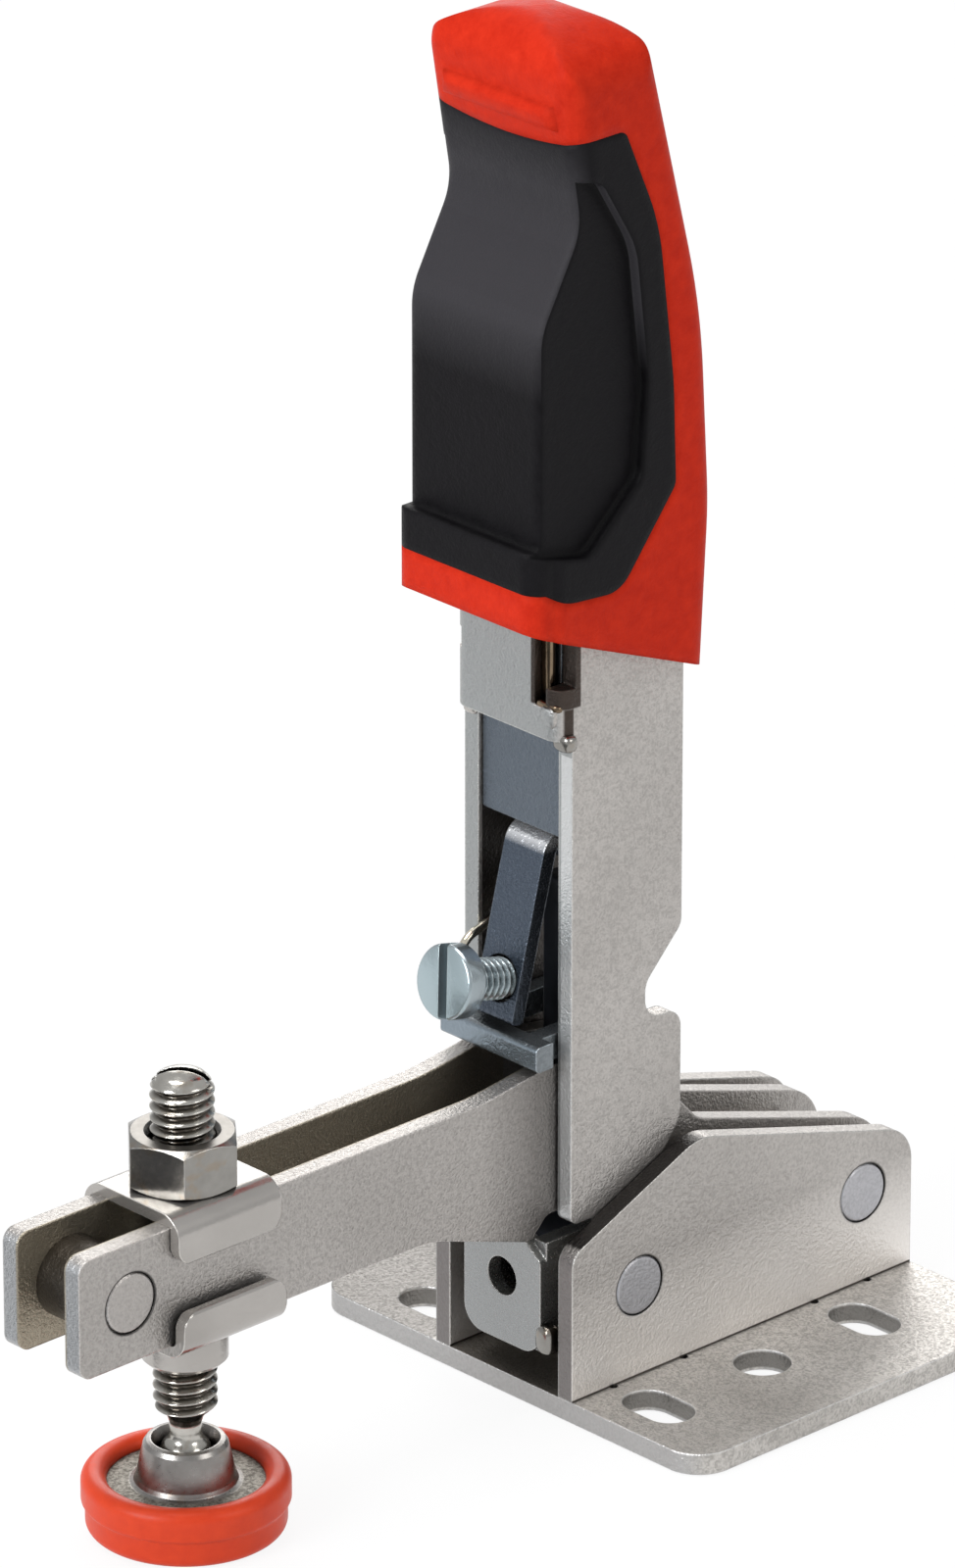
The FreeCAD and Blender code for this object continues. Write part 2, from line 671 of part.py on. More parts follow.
def handle_side_outline():
    """Side outline of the handle channel, with the hook notch in its rear edge."""
    front_x = FRONT_X + HANDLE_FRONT_SETBACK
    rear_x = FRONT_X + HANDLE_REAR_SETBACK
    notch_x = rear_x - NOTCH_DEPTH
    return [
        (front_x, HANDLE_FOOT, 1.2),
        (front_x + 12.0, HANDLE_FOOT, 4.0),
        (rear_x, HANDLE_FOOT + 9.0, 4.0),
        (rear_x, NOTCH_FOOT, 2.6),
        (notch_x, NOTCH_FOOT, 2.8),
        (notch_x, NOTCH_FOOT + NOTCH_HEIGHT * 0.44, 3.0),
        (rear_x, NOTCH_FOOT + NOTCH_HEIGHT, 2.2),
        (rear_x, HANDLE_TOP - HANDLE_TOP_TAPER, 8.0),
        (FRONT_X + 12.0, HANDLE_TOP, 2.0),
        (WEB_X, HANDLE_TOP, 0),
        (WEB_X, WEB_FOOT, 0),
        (front_x, WEB_FOOT, 0),
    ]


def handle_channel():
    """One stamping: two cheeks joined by a web across their upper front."""
    front_x = FRONT_X + HANDLE_FRONT_SETBACK
    rear_x = FRONT_X + HANDLE_REAR_SETBACK + 1
    inner_x = WEB_X + HANDLE_SHEET
    bend = [
        (WEB_X, -HANDLE_OUT, HANDLE_SHEET),
        (rear_x, -HANDLE_OUT, 0),
        (rear_x, -HANDLE_IN, 0),
        (inner_x, -HANDLE_IN, 0.5),
        (inner_x, HANDLE_IN, 0.5),
        (rear_x, HANDLE_IN, 0),
        (rear_x, HANDLE_OUT, 0),
        (WEB_X, HANDLE_OUT, HANDLE_SHEET),
    ]
    upper = plan_profile(bend, WEB_FOOT, HANDLE_TOP)
    lower = [
        box(front_x, rear_x, y, y + HANDLE_SHEET, HANDLE_FOOT, WEB_FOOT) for y in (-HANDLE_OUT, HANDLE_IN)
    ]
    sheet = upper.fuse(lower).removeSplitter()
    channel = sheet.common(side_profile(handle_side_outline(), -HANDLE_OUT, HANDLE_OUT))
    window_foot = WEB_FOOT + WINDOW_RISE
    window_top = window_foot + WINDOW_HEIGHT
    relief_foot = window_foot + RELIEF_RISE
    far_foot = window_foot + FAR_RELIEF_RISE
    far_top = far_foot + FAR_RELIEF_HEIGHT
    relief_x = front_x + RELIEF_DEPTH
    bore_reach = HANDLE_OUT - STUD_COVER
    cuts = [
        box(WEB_X - 1, inner_x + 0.1, -HANDLE_IN, -WINDOW_EDGE, window_foot, window_top),
        box(WEB_X - 1, relief_x, -HANDLE_OUT - 1, -HANDLE_IN + 0.1, relief_foot, window_top),
        box(WEB_X - 1, front_x, HANDLE_OUT - 1.5, HANDLE_OUT + 1, far_foot, far_top),
        cross_pin(PIVOT_X, HANDLE_PIVOT_HEIGHT, STUD_D + 2 * STUD_GAP, -bore_reach, bore_reach),
        cross_pin(PIN_X, PIN_Z, PIN_D + 2 * SEAT_GAP, -bore_reach, bore_reach),
    ]
    return channel.cut(cuts)


def link():
    """U-shaped link: a front web with an adjusting hole and two cheeks with an eye on the link rivet."""
    web_x = FRONT_X + LINK_WEB_SETBACK
    side = [
        (web_x, LINK_FOOT, 0),
        (LINK_RIVET_X, RIVET_HEIGHT - LINK_EYE_R, 0),
        (LINK_RIVET_X + LINK_EYE_R, RIVET_HEIGHT - LINK_EYE_R, LINK_EYE_R - 0.01),
        (LINK_RIVET_X + LINK_EYE_R, RIVET_HEIGHT + LINK_EYE_R, LINK_EYE_R - 0.01),
        (LINK_RIVET_X, RIVET_HEIGHT + LINK_EYE_R, 0),
        (web_x, LINK_TOP, 0),
    ]
    block = side_profile(side, -LINK_OUT, LINK_OUT)
    front = [
        (-LINK_OUT, LINK_FOOT, LINK_CORNER_R),
        (LINK_OUT, LINK_FOOT, LINK_CORNER_R),
        (LINK_OUT, LINK_TOP - 2.4, 0.8),
        (LINK_OUT - 3.0, LINK_TOP, 0.8),
        (-LINK_OUT + 3.0, LINK_TOP, 0.8),
        (-LINK_OUT, LINK_TOP - 2.4, 0.8),
    ]
    web = front_profile(front, web_x, web_x + LINK_SHEET)
    cheeks = block.cut(box(web_x - 1, LINK_RIVET_X + 20, -LINK_IN, LINK_IN, 0, 40))
    cheeks = cheeks.cut(box(web_x - 1, web_x + LINK_SHEET * 0.5, -LINK_OUT - 1, LINK_OUT + 1, 0, 40))
    body = web.fuse(cheeks).removeSplitter()
    web_hole = Part.makeCylinder(
        LINK_HOLE_D / 2, LINK_SHEET, Vector(web_x, 0, LINK_HOLE_HEIGHT), Vector(1, 0, 0)
    )
    bore = cross_pin(LINK_RIVET_X, RIVET_HEIGHT, RIVET_D + 2 * RUNNING_GAP, -LINK_OUT, LINK_OUT)
    return body.cut([web_hole, bore])


def lock_bar():
    """Flat hardened bar with an eye on the link rivet, running up between the arm plates."""
    half = BAR_WIDTH / 2
    eye = cross_pin(LINK_RIVET_X, RIVET_HEIGHT, 2 * BAR_EYE_R, -half, half)
    top_z = RIVET_HEIGHT + BAR_REACH
    thick = BAR_THICKNESS / 2
    strip = side_profile(
        [
            (LINK_RIVET_X - thick, RIVET_HEIGHT, 0),
            (LINK_RIVET_X + thick, RIVET_HEIGHT, 0),
            (LINK_RIVET_X + thick, top_z, thick * 0.6),
            (LINK_RIVET_X - thick, top_z, thick * 0.6),
        ],
        -half,
        half,
    )
    bore = cross_pin(LINK_RIVET_X, RIVET_HEIGHT, RIVET_D + 2 * RUNNING_GAP, -half, half)
    return eye.fuse(strip).removeSplitter().cut(bore)


def lock_plate():
    """Friction plate: a cross bar in front of the channel and two legs that pass beside the lock bar."""
    front_x = FRONT_X + LOCK_FRONT_SETBACK
    half = LOCK_BAR_WIDTH / 2
    inside = HANDLE_IN - 0.35
    top = LOCK_FOOT + LOCK_HEIGHT
    cross = side_profile(
        [
            (front_x, LOCK_FOOT, 0.7),
            (front_x + LOCK_BAR_DEPTH, LOCK_FOOT, 0.2),
            (front_x + LOCK_BAR_DEPTH, top, 0.2),
            (front_x, top, 0.7),
        ],
        -half,
        half,
    )
    rear_x = FRONT_X + LOCK_LEG_REACH
    leg_x = front_x + LOCK_BAR_DEPTH - 0.5
    legs = [
        box(leg_x, rear_x, y, y + LOCK_LEG_WIDTH, LOCK_FOOT, top) for y in (-inside, inside - LOCK_LEG_WIDTH)
    ]
    return cross.fuse(legs).removeSplitter()


def slide_plate():
    """Dark flat sheet just behind the web, showing below it, with its head inside the grip."""
    half = HANDLE_IN - PLATE_SIDE_GAP
    x = FRONT_X + PLATE_SETBACK
    corners = [
        (-half, PLATE_FOOT, 0.4),
        (half, PLATE_FOOT, 0.4),
        (half, PLATE_TOP, 3.0),
        (-half, PLATE_TOP, 3.0),
    ]
    return front_profile(corners, x, x + PLATE_SHEET)


def tongue_axes():
    """Top point of the tongue's front face, and its directions down along the strip and into the channel."""
    lean = math.radians(TONGUE_LEAN)
    down = Vector(-math.sin(lean), 0, -math.cos(lean))
    rearward = Vector(math.cos(lean), 0, -math.sin(lean))
    return Vector(FRONT_X + TONGUE_TOP_SETBACK, 0, TONGUE_TOP), down, rearward


def screw_frame():
    """Point where the adjusting screw's axis meets the tongue's front face, and the axis towards the rear."""
    top, down, rearward = tongue_axes()
    return top + down * ((TONGUE_TOP - SCREW_HEIGHT) / math.cos(math.radians(TONGUE_LEAN))), rearward


def tongue():
    """Spring-steel strip, bent back at its top round the pin, tapped for the adjusting screw."""
    top, down, rearward = tongue_axes()
    half = TONGUE_WIDTH / 2
    length = (TONGUE_TOP - TONGUE_FOOT) / math.cos(math.radians(TONGUE_LEAN))
    foot = top + down * length
    foot_rear = foot + rearward * TONGUE_SHEET
    pin_outer = PIN_D / 2 + RUNNING_GAP + TONGUE_SHEET
    tail_top = PIN_Z + pin_outer
    corners = [
        (foot.x, foot.z, 0.6),
        (foot_rear.x, foot_rear.z, 0.6),
        (top.x + rearward.x * TONGUE_SHEET + 0.5, tail_top - TONGUE_SHEET, 1.0),
        (PIN_X, tail_top - TONGUE_SHEET, 0),
        (PIN_X, tail_top, 0),
        (top.x + TONGUE_BEND_R * math.tan(math.radians(TONGUE_LEAN)), tail_top, TONGUE_BEND_R),
    ]
    strip = side_profile(corners, -half, half)
    curl = cross_pin(PIN_X, PIN_Z, 2 * pin_outer, -half, half)
    curl = curl.cut(box(PIN_X - 20, PIN_X, -half, half, PIN_Z - 20, tail_top - TONGUE_SHEET))
    body = strip.fuse(curl).removeSplitter()
    bore = cross_pin(PIN_X, PIN_Z, PIN_D + 2 * RUNNING_GAP, -half, half)
    at, axis = screw_frame()
    tapped = Part.makeCylinder(SCREW_D / 2 + RUNNING_GAP, 3 * TONGUE_SHEET, at - axis * TONGUE_SHEET, axis)
    return body.cut([bore, tapped])


def adjusting_screw():
    """Slotted cheese-head screw through the tongue."""
    at, axis = screw_frame()
    head_at = at - axis * (SCREW_SHANK_SHOWING + SCREW_HEAD_HEIGHT)
    shank_length = SCREW_SHANK_SHOWING + SCREW_TAIL + SCREW_HEAD_HEIGHT - 0.5
    shank = Part.makeCylinder(SCREW_D / 2, shank_length, head_at + axis * 0.5, axis)
    shank = shank.makeChamfer(0.5, [shank.Edges[0]])
    head = Part.makeCylinder(SCREW_HEAD_D / 2, SCREW_HEAD_HEIGHT, head_at, axis)
    rims = [edge for edge in head.Edges if isinstance(edge.Curve, Part.Circle)]
    head = head.makeFillet(0.45, rims)
    screw = head.fuse(shank).removeSplitter()
    slot = Part.makeBox(SCREW_SLOT_DEPTH + 1, SCREW_SLOT, SCREW_HEAD_D + 4)
    slot.translate(Vector(-1, -SCREW_SLOT / 2, -SCREW_HEAD_D / 2 - 2))
    angle = math.degrees(math.atan2(-axis.z, axis.x))
    slot.rotate(Vector(0, 0, 0), Vector(0, 1, 0), angle)
    slot.translate(head_at)
    return screw.cut(slot)


def lock_pin():
    """Pin across the channel that the tongue hangs on."""
    reach = HANDLE_OUT - STUD_COVER - SIDE_GAP
    return cross_pin(PIN_X, PIN_Z, PIN_D, -reach, reach)


def wire_along(path, start, direction):
    section = Part.Wire(Part.Circle(start, direction, WIRE_D / 2).toShape())
    return Part.Wire(path).makePipeShell([section], True, True)


def lock_spring():
    """Torsion spring beside the tongue: a coil on the pin, a short rear leg and a long bowed leg."""
    coil_r = (PIN_D + WIRE_D) / 2 + COIL_GAP
    pitch = WIRE_D + COIL_GAP
    first_y = (TONGUE_WIDTH + WIRE_D) / 2 + COIL_GAP
    last_y = first_y + COIL_TURNS * pitch
    helix = Part.makeHelix(pitch, last_y - first_y, coil_r)
    helix.rotate(Vector(0, 0, 0), Vector(1, 0, 0), -90)
    helix.translate(Vector(PIN_X, first_y, PIN_Z))
    coil_from = Vector(PIN_X + coil_r, first_y, PIN_Z)
    coil = wire_along(helix.Edges, coil_from, Vector(0, 0, 1))
    rear_leg = Part.makeCylinder(WIRE_D / 2, REAR_LEG, coil_from, Vector(0, 0, 1))
    return coil.fuse([rear_leg, bowed_leg(Vector(PIN_X, last_y, PIN_Z - coil_r))])


def bowed_leg(start):
    """Leg of the spring that leaves the foot of the coil forwards and bends down to the screw."""
    at, _ = screw_frame()
    tip = Vector(at.x - SPRING_TIP_AHEAD, start.y, at.z)
    ahead = start.x - tip.x
    drop = start.z - tip.z
    bow_r = (ahead**2 + drop**2) / (2 * drop)
    half_turn = math.atan2(ahead, bow_r - drop) / 2
    middle = start + Vector(-bow_r * math.sin(half_turn), 0, bow_r * (math.cos(half_turn) - 1))
    bow = Part.Arc(start, middle, tip).toShape()
    return wire_along([bow], start, Vector(-1, 0, 0))


def grip_block():
    """Grip without its lip: the side outline across the full width, with rounded long edges."""
    corners = [(FRONT_X + x, z, r) for x, z, r in GRIP_OUTLINE]
    half = GRIP_WIDTH / 2
    block = side_profile(corners, -half, half)
    foot = min(z for _, z, _ in GRIP_OUTLINE)
    rims = []
    for edge in block.Edges:
        box_ = edge.BoundBox
        if box_.YLength < 1e-6 and box_.ZMax > foot + 1e-3:
            rims.append(edge)
    return block.makeFillet(GRIP_EDGE_R, rims).common(crown_block())


def crown_block():
    """Front view of the grip with its crowned top, from front to rear."""
    half = GRIP_WIDTH / 2
    foot = GRIP_OUTLINE[0][1]
    slope = math.radians(GRIP_CROWN_SLOPE)
    apex = GRIP_OUTLINE[3][1] + GRIP_CROWN_R * (1 / math.cos(slope) - 1)
    shoulder = apex - half * math.tan(slope)
    corners = [
        (-half, foot, 0),
        (half, foot, 0),
        (half, shoulder, GRIP_SHOULDER_R),
        (0, apex, GRIP_CROWN_R),
        (-half, shoulder, GRIP_SHOULDER_R),
    ]
    return front_profile(corners, FRONT_X - 20, FRONT_X + 60)


def thumb_ridge():
    """Raised bar across the front of the red cap."""
    corners = [(FRONT_X + x, z, r) for x, z, r in RIDGE_OUTLINE]
    bar = side_profile(corners, -RIDGE_HALF_LENGTH, RIDGE_HALF_LENGTH)
    front_x = FRONT_X + min(x for x, _, _ in RIDGE_OUTLINE)
    rear_x = FRONT_X + max(x for x, _, _ in RIDGE_OUTLINE)
    ends = plan_profile(
        [
            (front_x, -RIDGE_HALF_LENGTH, RIDGE_END_R),
            (rear_x, -RIDGE_HALF_LENGTH, 0),
            (rear_x, RIDGE_HALF_LENGTH, 0),
            (front_x, RIDGE_HALF_LENGTH, RIDGE_END_R),
        ],
        RIDGE_OUTLINE[0][1],
        RIDGE_OUTLINE[-1][1],
    )
    return bar.common(ends)


def cover_core():
    """Inside of the cover: the grip's front outline set back by the cover's thickness."""
    inset = COVER_THICKNESS + SCOOP_DEPTH
    half = GRIP_WIDTH / 2 - inset
    front = [(FRONT_X + x + inset, z, r) for x, z, r in GRIP_OUTLINE[:3]]
    top_x, top_z, _ = GRIP_OUTLINE[3]
    corners = front + [
        (FRONT_X + top_x + inset, top_z + 5, 0),
        (FRONT_X + 40, top_z + 5, 0),
        (FRONT_X + 40, GRIP_OUTLINE[0][1], 0),
    ]
    return side_profile(corners, -half, half)


def grip_floor_cut():
    """Everything below the grip's slanting lower face."""
    rise = math.tan(math.radians(GRIP_FLOOR_SLOPE))
    front_x = FRONT_X - 20
    rear_x = FRONT_X + 60
    front_z = GRIP_FLOOR_FRONT + 15.0 * rise
    rear_z = front_z - (rear_x - front_x) * rise
    corners = [(front_x, 40, 0), (rear_x, 40, 0), (rear_x, rear_z, 0), (front_x, front_z, 0)]
    return side_profile(corners, -40, 40)


def grip_outer():
    front_x = FRONT_X + GRIP_OUTLINE[0][0] - GRIP_LIP_PROUD
    half = GRIP_WIDTH / 2 - GRIP_LIP_INSET
    lip = plan_profile(
        [
            (front_x, -half, GRIP_LIP_R),
            (FRONT_X + 1.0, -half, 0),
            (FRONT_X + 1.0, half, 0),
            (front_x, half, GRIP_LIP_R),
        ],
        GRIP_OUTLINE[0][1],
        GRIP_LIP_HEIGHT,
    )
    whole = grip_block().fuse([lip, thumb_ridge()])
    whole = whole.cut(grip_floor_cut())
    return whole


def scoops():
    corners = [(FRONT_X + x, z, r) for x, z, r in SCOOP_OUTLINE]
    half = GRIP_WIDTH / 2
    left = side_profile(corners, -half - 2, -half + SCOOP_DEPTH)
    return [left, mirrored(left)]


def cover_region():
    """Side outline of the black cover as a block across the grip, with a sagging top edge."""
    front_x = FRONT_X - 20
    edge = [(FRONT_X + x, z, r) for x, z, r in COVER_EDGE]
    top = COVER_EDGE[0][1]
    corners = [(front_x, top, 0)] + edge + [
        (FRONT_X - 5.0, COVER_FOOT_FRONT, 0),
        (front_x, COVER_FOOT_FRONT + 1.0, 0),
    ]
    half = GRIP_WIDTH / 2 + 10
    foot = GRIP_OUTLINE[0][1]
    sag = COVER_SAG_R
    centre = Vector(front_x, 0, top + math.sqrt(sag**2 - (GRIP_WIDTH / 2) ** 2))
    hollow = Part.makeCylinder(sag, 80, centre, Vector(1, 0, 0))
    return side_profile(corners, -half, half).cut(hollow)


def cheek_pocket():
    """Space in the grip for the channel: open at its mouth, and filled between the cheeks above that."""
    front = WEB_X
    rear = FRONT_X + HANDLE_REAR_SETBACK
    mouth = box(front, rear, -HANDLE_OUT, HANDLE_OUT, GRIP_OUTLINE[0][1], POCKET_TOP)
    plate_x = FRONT_X + PLATE_SETBACK
    plate_half = HANDLE_IN - PLATE_SIDE_GAP + PLATE_CLEARANCE
    plate_space = box(
        plate_x - PLATE_CLEARANCE,
        plate_x + PLATE_SHEET + PLATE_CLEARANCE,
        -plate_half,
        plate_half,
        POCKET_TOP,
        PLATE_TOP + PLATE_CLEARANCE,
    )
    return [mouth, plate_space]


def grip_pieces(channel):
    """Red grip body and its black cover, which share one outer surface, moulded round the channel."""
    outer = grip_outer().cut(scoops())
    cover = outer.cut(cover_core()).common(cover_region())
    cover = max(cover.Solids, key=lambda s: s.Volume)
    body = outer.cut(cover).cut([channel] + cheek_pocket())
    return max(body.Solids, key=lambda s: s.Volume), cover


def save(name, shape):
    solids = shape if isinstance(shape, list) else [shape]
    whole = solids[0] if len(solids) == 1 else Part.makeCompound(solids)
    whole.exportStep(os.path.join("parts", name + ".step"))
    volume = sum(s.Volume for s in solids)
    count = sum(len(s.Solids) for s in solids)
    print("%-22s solids %d  volume %9.2f  valid %s" % (name, count, volume, whole.isValid()))


def main():
    os.makedirs("parts", exist_ok=True)
    save("base_plate", base_plate())
    side = side_plate_left()
    save("side_plate_left", side)
    save("side_plate_right", mirrored(side))
    save("link_rivet", base_rivet(LINK_RIVET_X))
    save("arm_rivet", base_rivet(ARM_RIVET_X))
    save("arm_pivot_spacers", arm_pivot_spacers())
    save("link_pivot_spacers", link_pivot_spacers())
    arm = arm_plate_left()
    save("arm_plate_left", arm)
    save("arm_plate_right", mirrored(arm))
    save("arm_tip_rivet", arm_tip_rivet())
    save("handle_pivot_studs", handle_pivot_studs())
    save("upper_saddle_washer", upper_saddle_washer())
    save("lower_saddle_washer", lower_saddle_washer())
    save("spindle_nut", spindle_nut())
    save("spindle", spindle())
    save("foot_plate", foot_plate())
    save("foot_ring", foot_ring())
    channel = handle_channel()
    save("handle_channel", channel)
    save("link", link())
    save("lock_bar", lock_bar())
    save("lock_plate", lock_plate())
    save("slide_plate", slide_plate())
    save("tongue", tongue())
    save("adjusting_screw", adjusting_screw())
    save("lock_pin", lock_pin())
    save("lock_spring", lock_spring())
    body, cover = grip_pieces(channel)
    save("grip_body", body)
    save("grip_cover", cover)


main()
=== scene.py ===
import bmesh
import bpy
import json
import math

from mathutils import Matrix, Vector


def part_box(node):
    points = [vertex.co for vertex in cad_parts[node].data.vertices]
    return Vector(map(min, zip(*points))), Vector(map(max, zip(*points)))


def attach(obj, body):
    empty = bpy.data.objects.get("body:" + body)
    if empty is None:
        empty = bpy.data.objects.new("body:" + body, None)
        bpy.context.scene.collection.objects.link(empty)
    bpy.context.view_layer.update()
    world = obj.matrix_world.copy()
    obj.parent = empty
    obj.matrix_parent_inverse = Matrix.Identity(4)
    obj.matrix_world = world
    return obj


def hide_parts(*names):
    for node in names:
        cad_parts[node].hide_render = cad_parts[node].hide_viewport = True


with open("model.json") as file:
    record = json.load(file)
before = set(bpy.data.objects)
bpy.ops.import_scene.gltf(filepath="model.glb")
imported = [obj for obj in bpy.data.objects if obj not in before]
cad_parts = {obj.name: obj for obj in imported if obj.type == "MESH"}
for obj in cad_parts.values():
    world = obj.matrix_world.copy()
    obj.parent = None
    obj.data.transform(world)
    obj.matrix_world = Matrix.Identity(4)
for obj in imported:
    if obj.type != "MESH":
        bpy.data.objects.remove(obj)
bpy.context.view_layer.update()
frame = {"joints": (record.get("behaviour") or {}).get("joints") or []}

SPINDLE_AXIS = (-0.0792, 0)
FLOOR_Z = -0.0002
CARD_Z = 0.0004
TOWARDS_TIP = (-1, 0, 0)
TOWARDS_NEAR_SIDE = (0, -1, 0)
UPWARDS = (0, 0, 1)


class Val:
    """A shader value: arithmetic on it adds Math nodes."""

    def __init__(self, owner, socket):
        self.owner = owner
        self.socket = socket

    def math(self, operation, *others):
        terms = dict(enumerate([self, *others]))
        return self.owner.node("ShaderNodeMath", {"operation": operation}, terms)

    def __add__(self, other):
        return self.math("ADD", other)

    def __radd__(self, other):
        return self.math("ADD", other)

    def __sub__(self, other):
        return self.math("SUBTRACT", other)

    def __rsub__(self, other):
        return self.owner.node("ShaderNodeMath", {"operation": "SUBTRACT"}, {0: other, 1: self})

    def __mul__(self, other):
        return self.math("MULTIPLY", other)

    def __truediv__(self, other):
        return self.math("DIVIDE", other)

    def clamp(self):
        return self.owner.node("ShaderNodeClamp", {}, {"Value": self})


class Nodes:
    """A node tree of a material or of the world."""

    def __init__(self, tree):
        self.tree = tree

    def node(self, kind, settings=None, sockets=None, out=0):
        made = self.tree.nodes.new(kind)
        for key, value in (settings or {}).items():
            setattr(made, key, value)
        for key, value in (sockets or {}).items():
            if isinstance(value, Val):
                self.tree.links.new(value.socket, made.inputs[key])
            else:
                made.inputs[key].default_value = value
        return Val(self, made.outputs[out])

    def ray(self, kind):
        """1 on rays of one kind, such as Is Camera Ray."""
        return self.node("ShaderNodeLightPath", out=kind)

    def whiten(self, seen, shader, glow_kind, surface):
        """White where the mask is 1, the given shader where it is 0."""
        glow = self.node(glow_kind, {}, {"Color": (1, 1, 1, 1), "Strength": 1.0})
        mixed = self.node("ShaderNodeMixShader", {}, {0: seen, 1: Val(self, shader), 2: glow})
        self.tree.links.new(mixed.socket, surface)


class Finish(Nodes):
    """One material, built from its Principled shader outwards."""

    def __init__(self, name, **constants):
        self.material = bpy.data.materials.new(name)
        self.material.use_nodes = True
        super().__init__(self.material.node_tree)
        self.shader = self.tree.nodes["Principled BSDF"]
        for socket, value in constants.items():
            self.shader.inputs[socket.replace("_", " ")].default_value = value

    def feed(self, socket, value):
        self.tree.links.new(value.socket, self.shader.inputs[socket])

    def spot(self):
        """The shaded point, in the object's own coordinates."""
        return self.node("ShaderNodeTexCoord", out="Object")

    def noise(self, scale, detail, roughness, stretch=(1, 1, 1)):
        place = self.node("ShaderNodeMapping", {}, {"Vector": self.spot(), "Scale": stretch})
        return self.node(
            "ShaderNodeTexNoise",
            {},
            {"Vector": place, "Scale": scale, "Detail": detail, "Roughness": roughness},
        )

    def blend(self, factor, first, second):
        """From one colour to another. Either may be a plain (r, g, b)."""
        first, second = [c if isinstance(c, Val) else (*c, 1) for c in (first, second)]
        return self.node("ShaderNodeMix", {"data_type": "RGBA"}, {0: factor, 6: first, 7: second}, out=2)

    def vector(self, operation, first, second, out=0):
        return self.node("ShaderNodeVectorMath", {"operation": operation}, {0: first, 1: second}, out)

    def round_edge(self, radius, samples=6):
        return self.node("ShaderNodeBevel", {"samples": samples}, {"Radius": radius})

    def edge_mask(self, radius, gain):
        """1 on corners and edges, 0 on the flats."""
        flat = self.node("ShaderNodeNewGeometry", out="Normal")
        same = self.vector("DOT_PRODUCT", self.round_edge(radius), flat, "Value")
        return ((1 - same) * gain).clamp()

    def openness(self, reach, closed, span):
        """0 in narrow gaps and inner corners, 1 in the open."""
        light = self.node("ShaderNodeAmbientOcclusion", {"samples": 6}, {"Distance": reach}, "AO")
        return ((light - closed) / span).clamp()

    def facing(self, direction, start, end):
        """0 to 1 as the true surface turns towards a direction of the object."""
        normal = self.node("ShaderNodeTexCoord", out="Normal")
        along = self.vector("DOT_PRODUCT", normal, direction, "Value")
        return ((along - start) / (end - start)).clamp()

    def within(self, low, high, soft):
        """1 inside an axis-aligned region of the object, 0 outside it."""
        split = self.node("ShaderNodeSeparateXYZ", {}, {0: self.spot()})
        values = [Val(self, socket) for socket in split.socket.node.outputs]
        mask = None
        for value, bottom, top in zip(values, low, high):
            inside = ((value - bottom) / soft).clamp() * ((top - value) / soft).clamp()
            mask = inside if mask is None else mask * inside
        return mask

    def distance_to(self, centre, keep):
        """Distance to a point, measured along the kept axes alone."""
        return self.vector("DISTANCE", self.vector("MULTIPLY", self.spot(), keep), centre, "Value")

    def from_spindle(self):
        """Distance from the spindle's upright axis."""
        return self.distance_to((*SPINDLE_AXIS, 0), (1, 1, 0))

    def ring_line(self, centre, radius, width):
        """1 on a thin circle about an axis along Y, seen on both faces of a plate."""
        gap = self.distance_to(centre, (1, 0, 1))
        return (1 - (gap - radius).math("ABSOLUTE") / width).clamp()

    def bump(self, height, strength, distance, normal):
        sockets = {"Height": height, "Strength": strength, "Distance": distance, "Normal": normal}
        return self.node("ShaderNodeBump", {}, sockets)


def patch(low, high, tint, soft=0.0001, aim=None, amount=0.94):
    """Tint inside a box of the object, on the faces that look along aim if it is given."""
    return low, high, tint, soft, aim, amount


# near-black brown: painted shade on the arm's end beside the handle, and the darker far flange
NEAR_BLACK_BROWN = (0.035, 0.030, 0.026)
SHEET_GAPS = (0.004, 0.03, 0.36)


def scaled(colour, factor):
    return [channel * factor for channel in colour]


def plated_steel(
    name, light, dark, grain=1.0, roughness=0.36, front=(0.84, 0.92, 1.0), edge=0.0004,
    rings=(), patches=(), gaps=SHEET_GAPS,
):
    """Plated sheet: fine pebbly grain, soft tone changes, painted highlights on edges and painted shade in
    gaps.

    front tints the faces towards the arm's tip as painted shade, and gaps says how the openness mask finds
    gaps for painted shade.
    """
    finish = Finish(name, Metallic=0.8)
    cloud = finish.noise(38, 3, 0.5)
    speck = finish.noise(2600, 2, 0.6)
    pits = finish.noise(1300, 3, 0.6)
    pebble = pits * 0.6 + speck * 0.4
    colour = finish.blend(((cloud - 0.5) * 2.0 + 0.5).clamp(), dark, light)
    fleck = ((pebble - 0.5) * 5.0 + 0.42).clamp() * (0.36 * grain)
    colour = finish.blend(fleck, colour, scaled(dark, 0.55))
    # painted shade: faces towards the tip take the front tint
    ahead = finish.facing(TOWARDS_TIP, 0.55, 0.95)
    colour = finish.blend(ahead * 0.85, colour, [c * f for c, f in zip(light, front)])
    # painted highlights on edges and corners
    edges = finish.edge_mask(edge, 2.8)
    colour = finish.blend(edges * 0.8, colour, [min(0.96, c) for c in scaled(light, 1.95)])
    for centre, radius in rings:
        colour = finish.blend(finish.ring_line(centre, radius, 0.00024), colour, (0.012, 0.011, 0.010))
    for low, high, tint, soft, aim, amount in patches:
        mask = finish.within(low, high, soft)
        if aim:
            mask = mask * finish.facing(aim, 0.8, 0.95)
        colour = finish.blend(mask * amount, colour, tint)
    # painted shade in narrow gaps and inner corners
    colour = finish.blend(finish.openness(*gaps), (0.016, 0.013, 0.011), colour)
    gloss = roughness + (cloud - 0.5) * 0.14 + (speck - 0.5) * (0.3 * grain) - edges * 0.12
    finish.feed("Base Color", colour)
    finish.feed("Roughness", gloss)
    finish.feed("Normal", finish.bump(pebble, min(1.0, 0.8 * grain), 0.00022, finish.round_edge(edge)))
    return finish.material


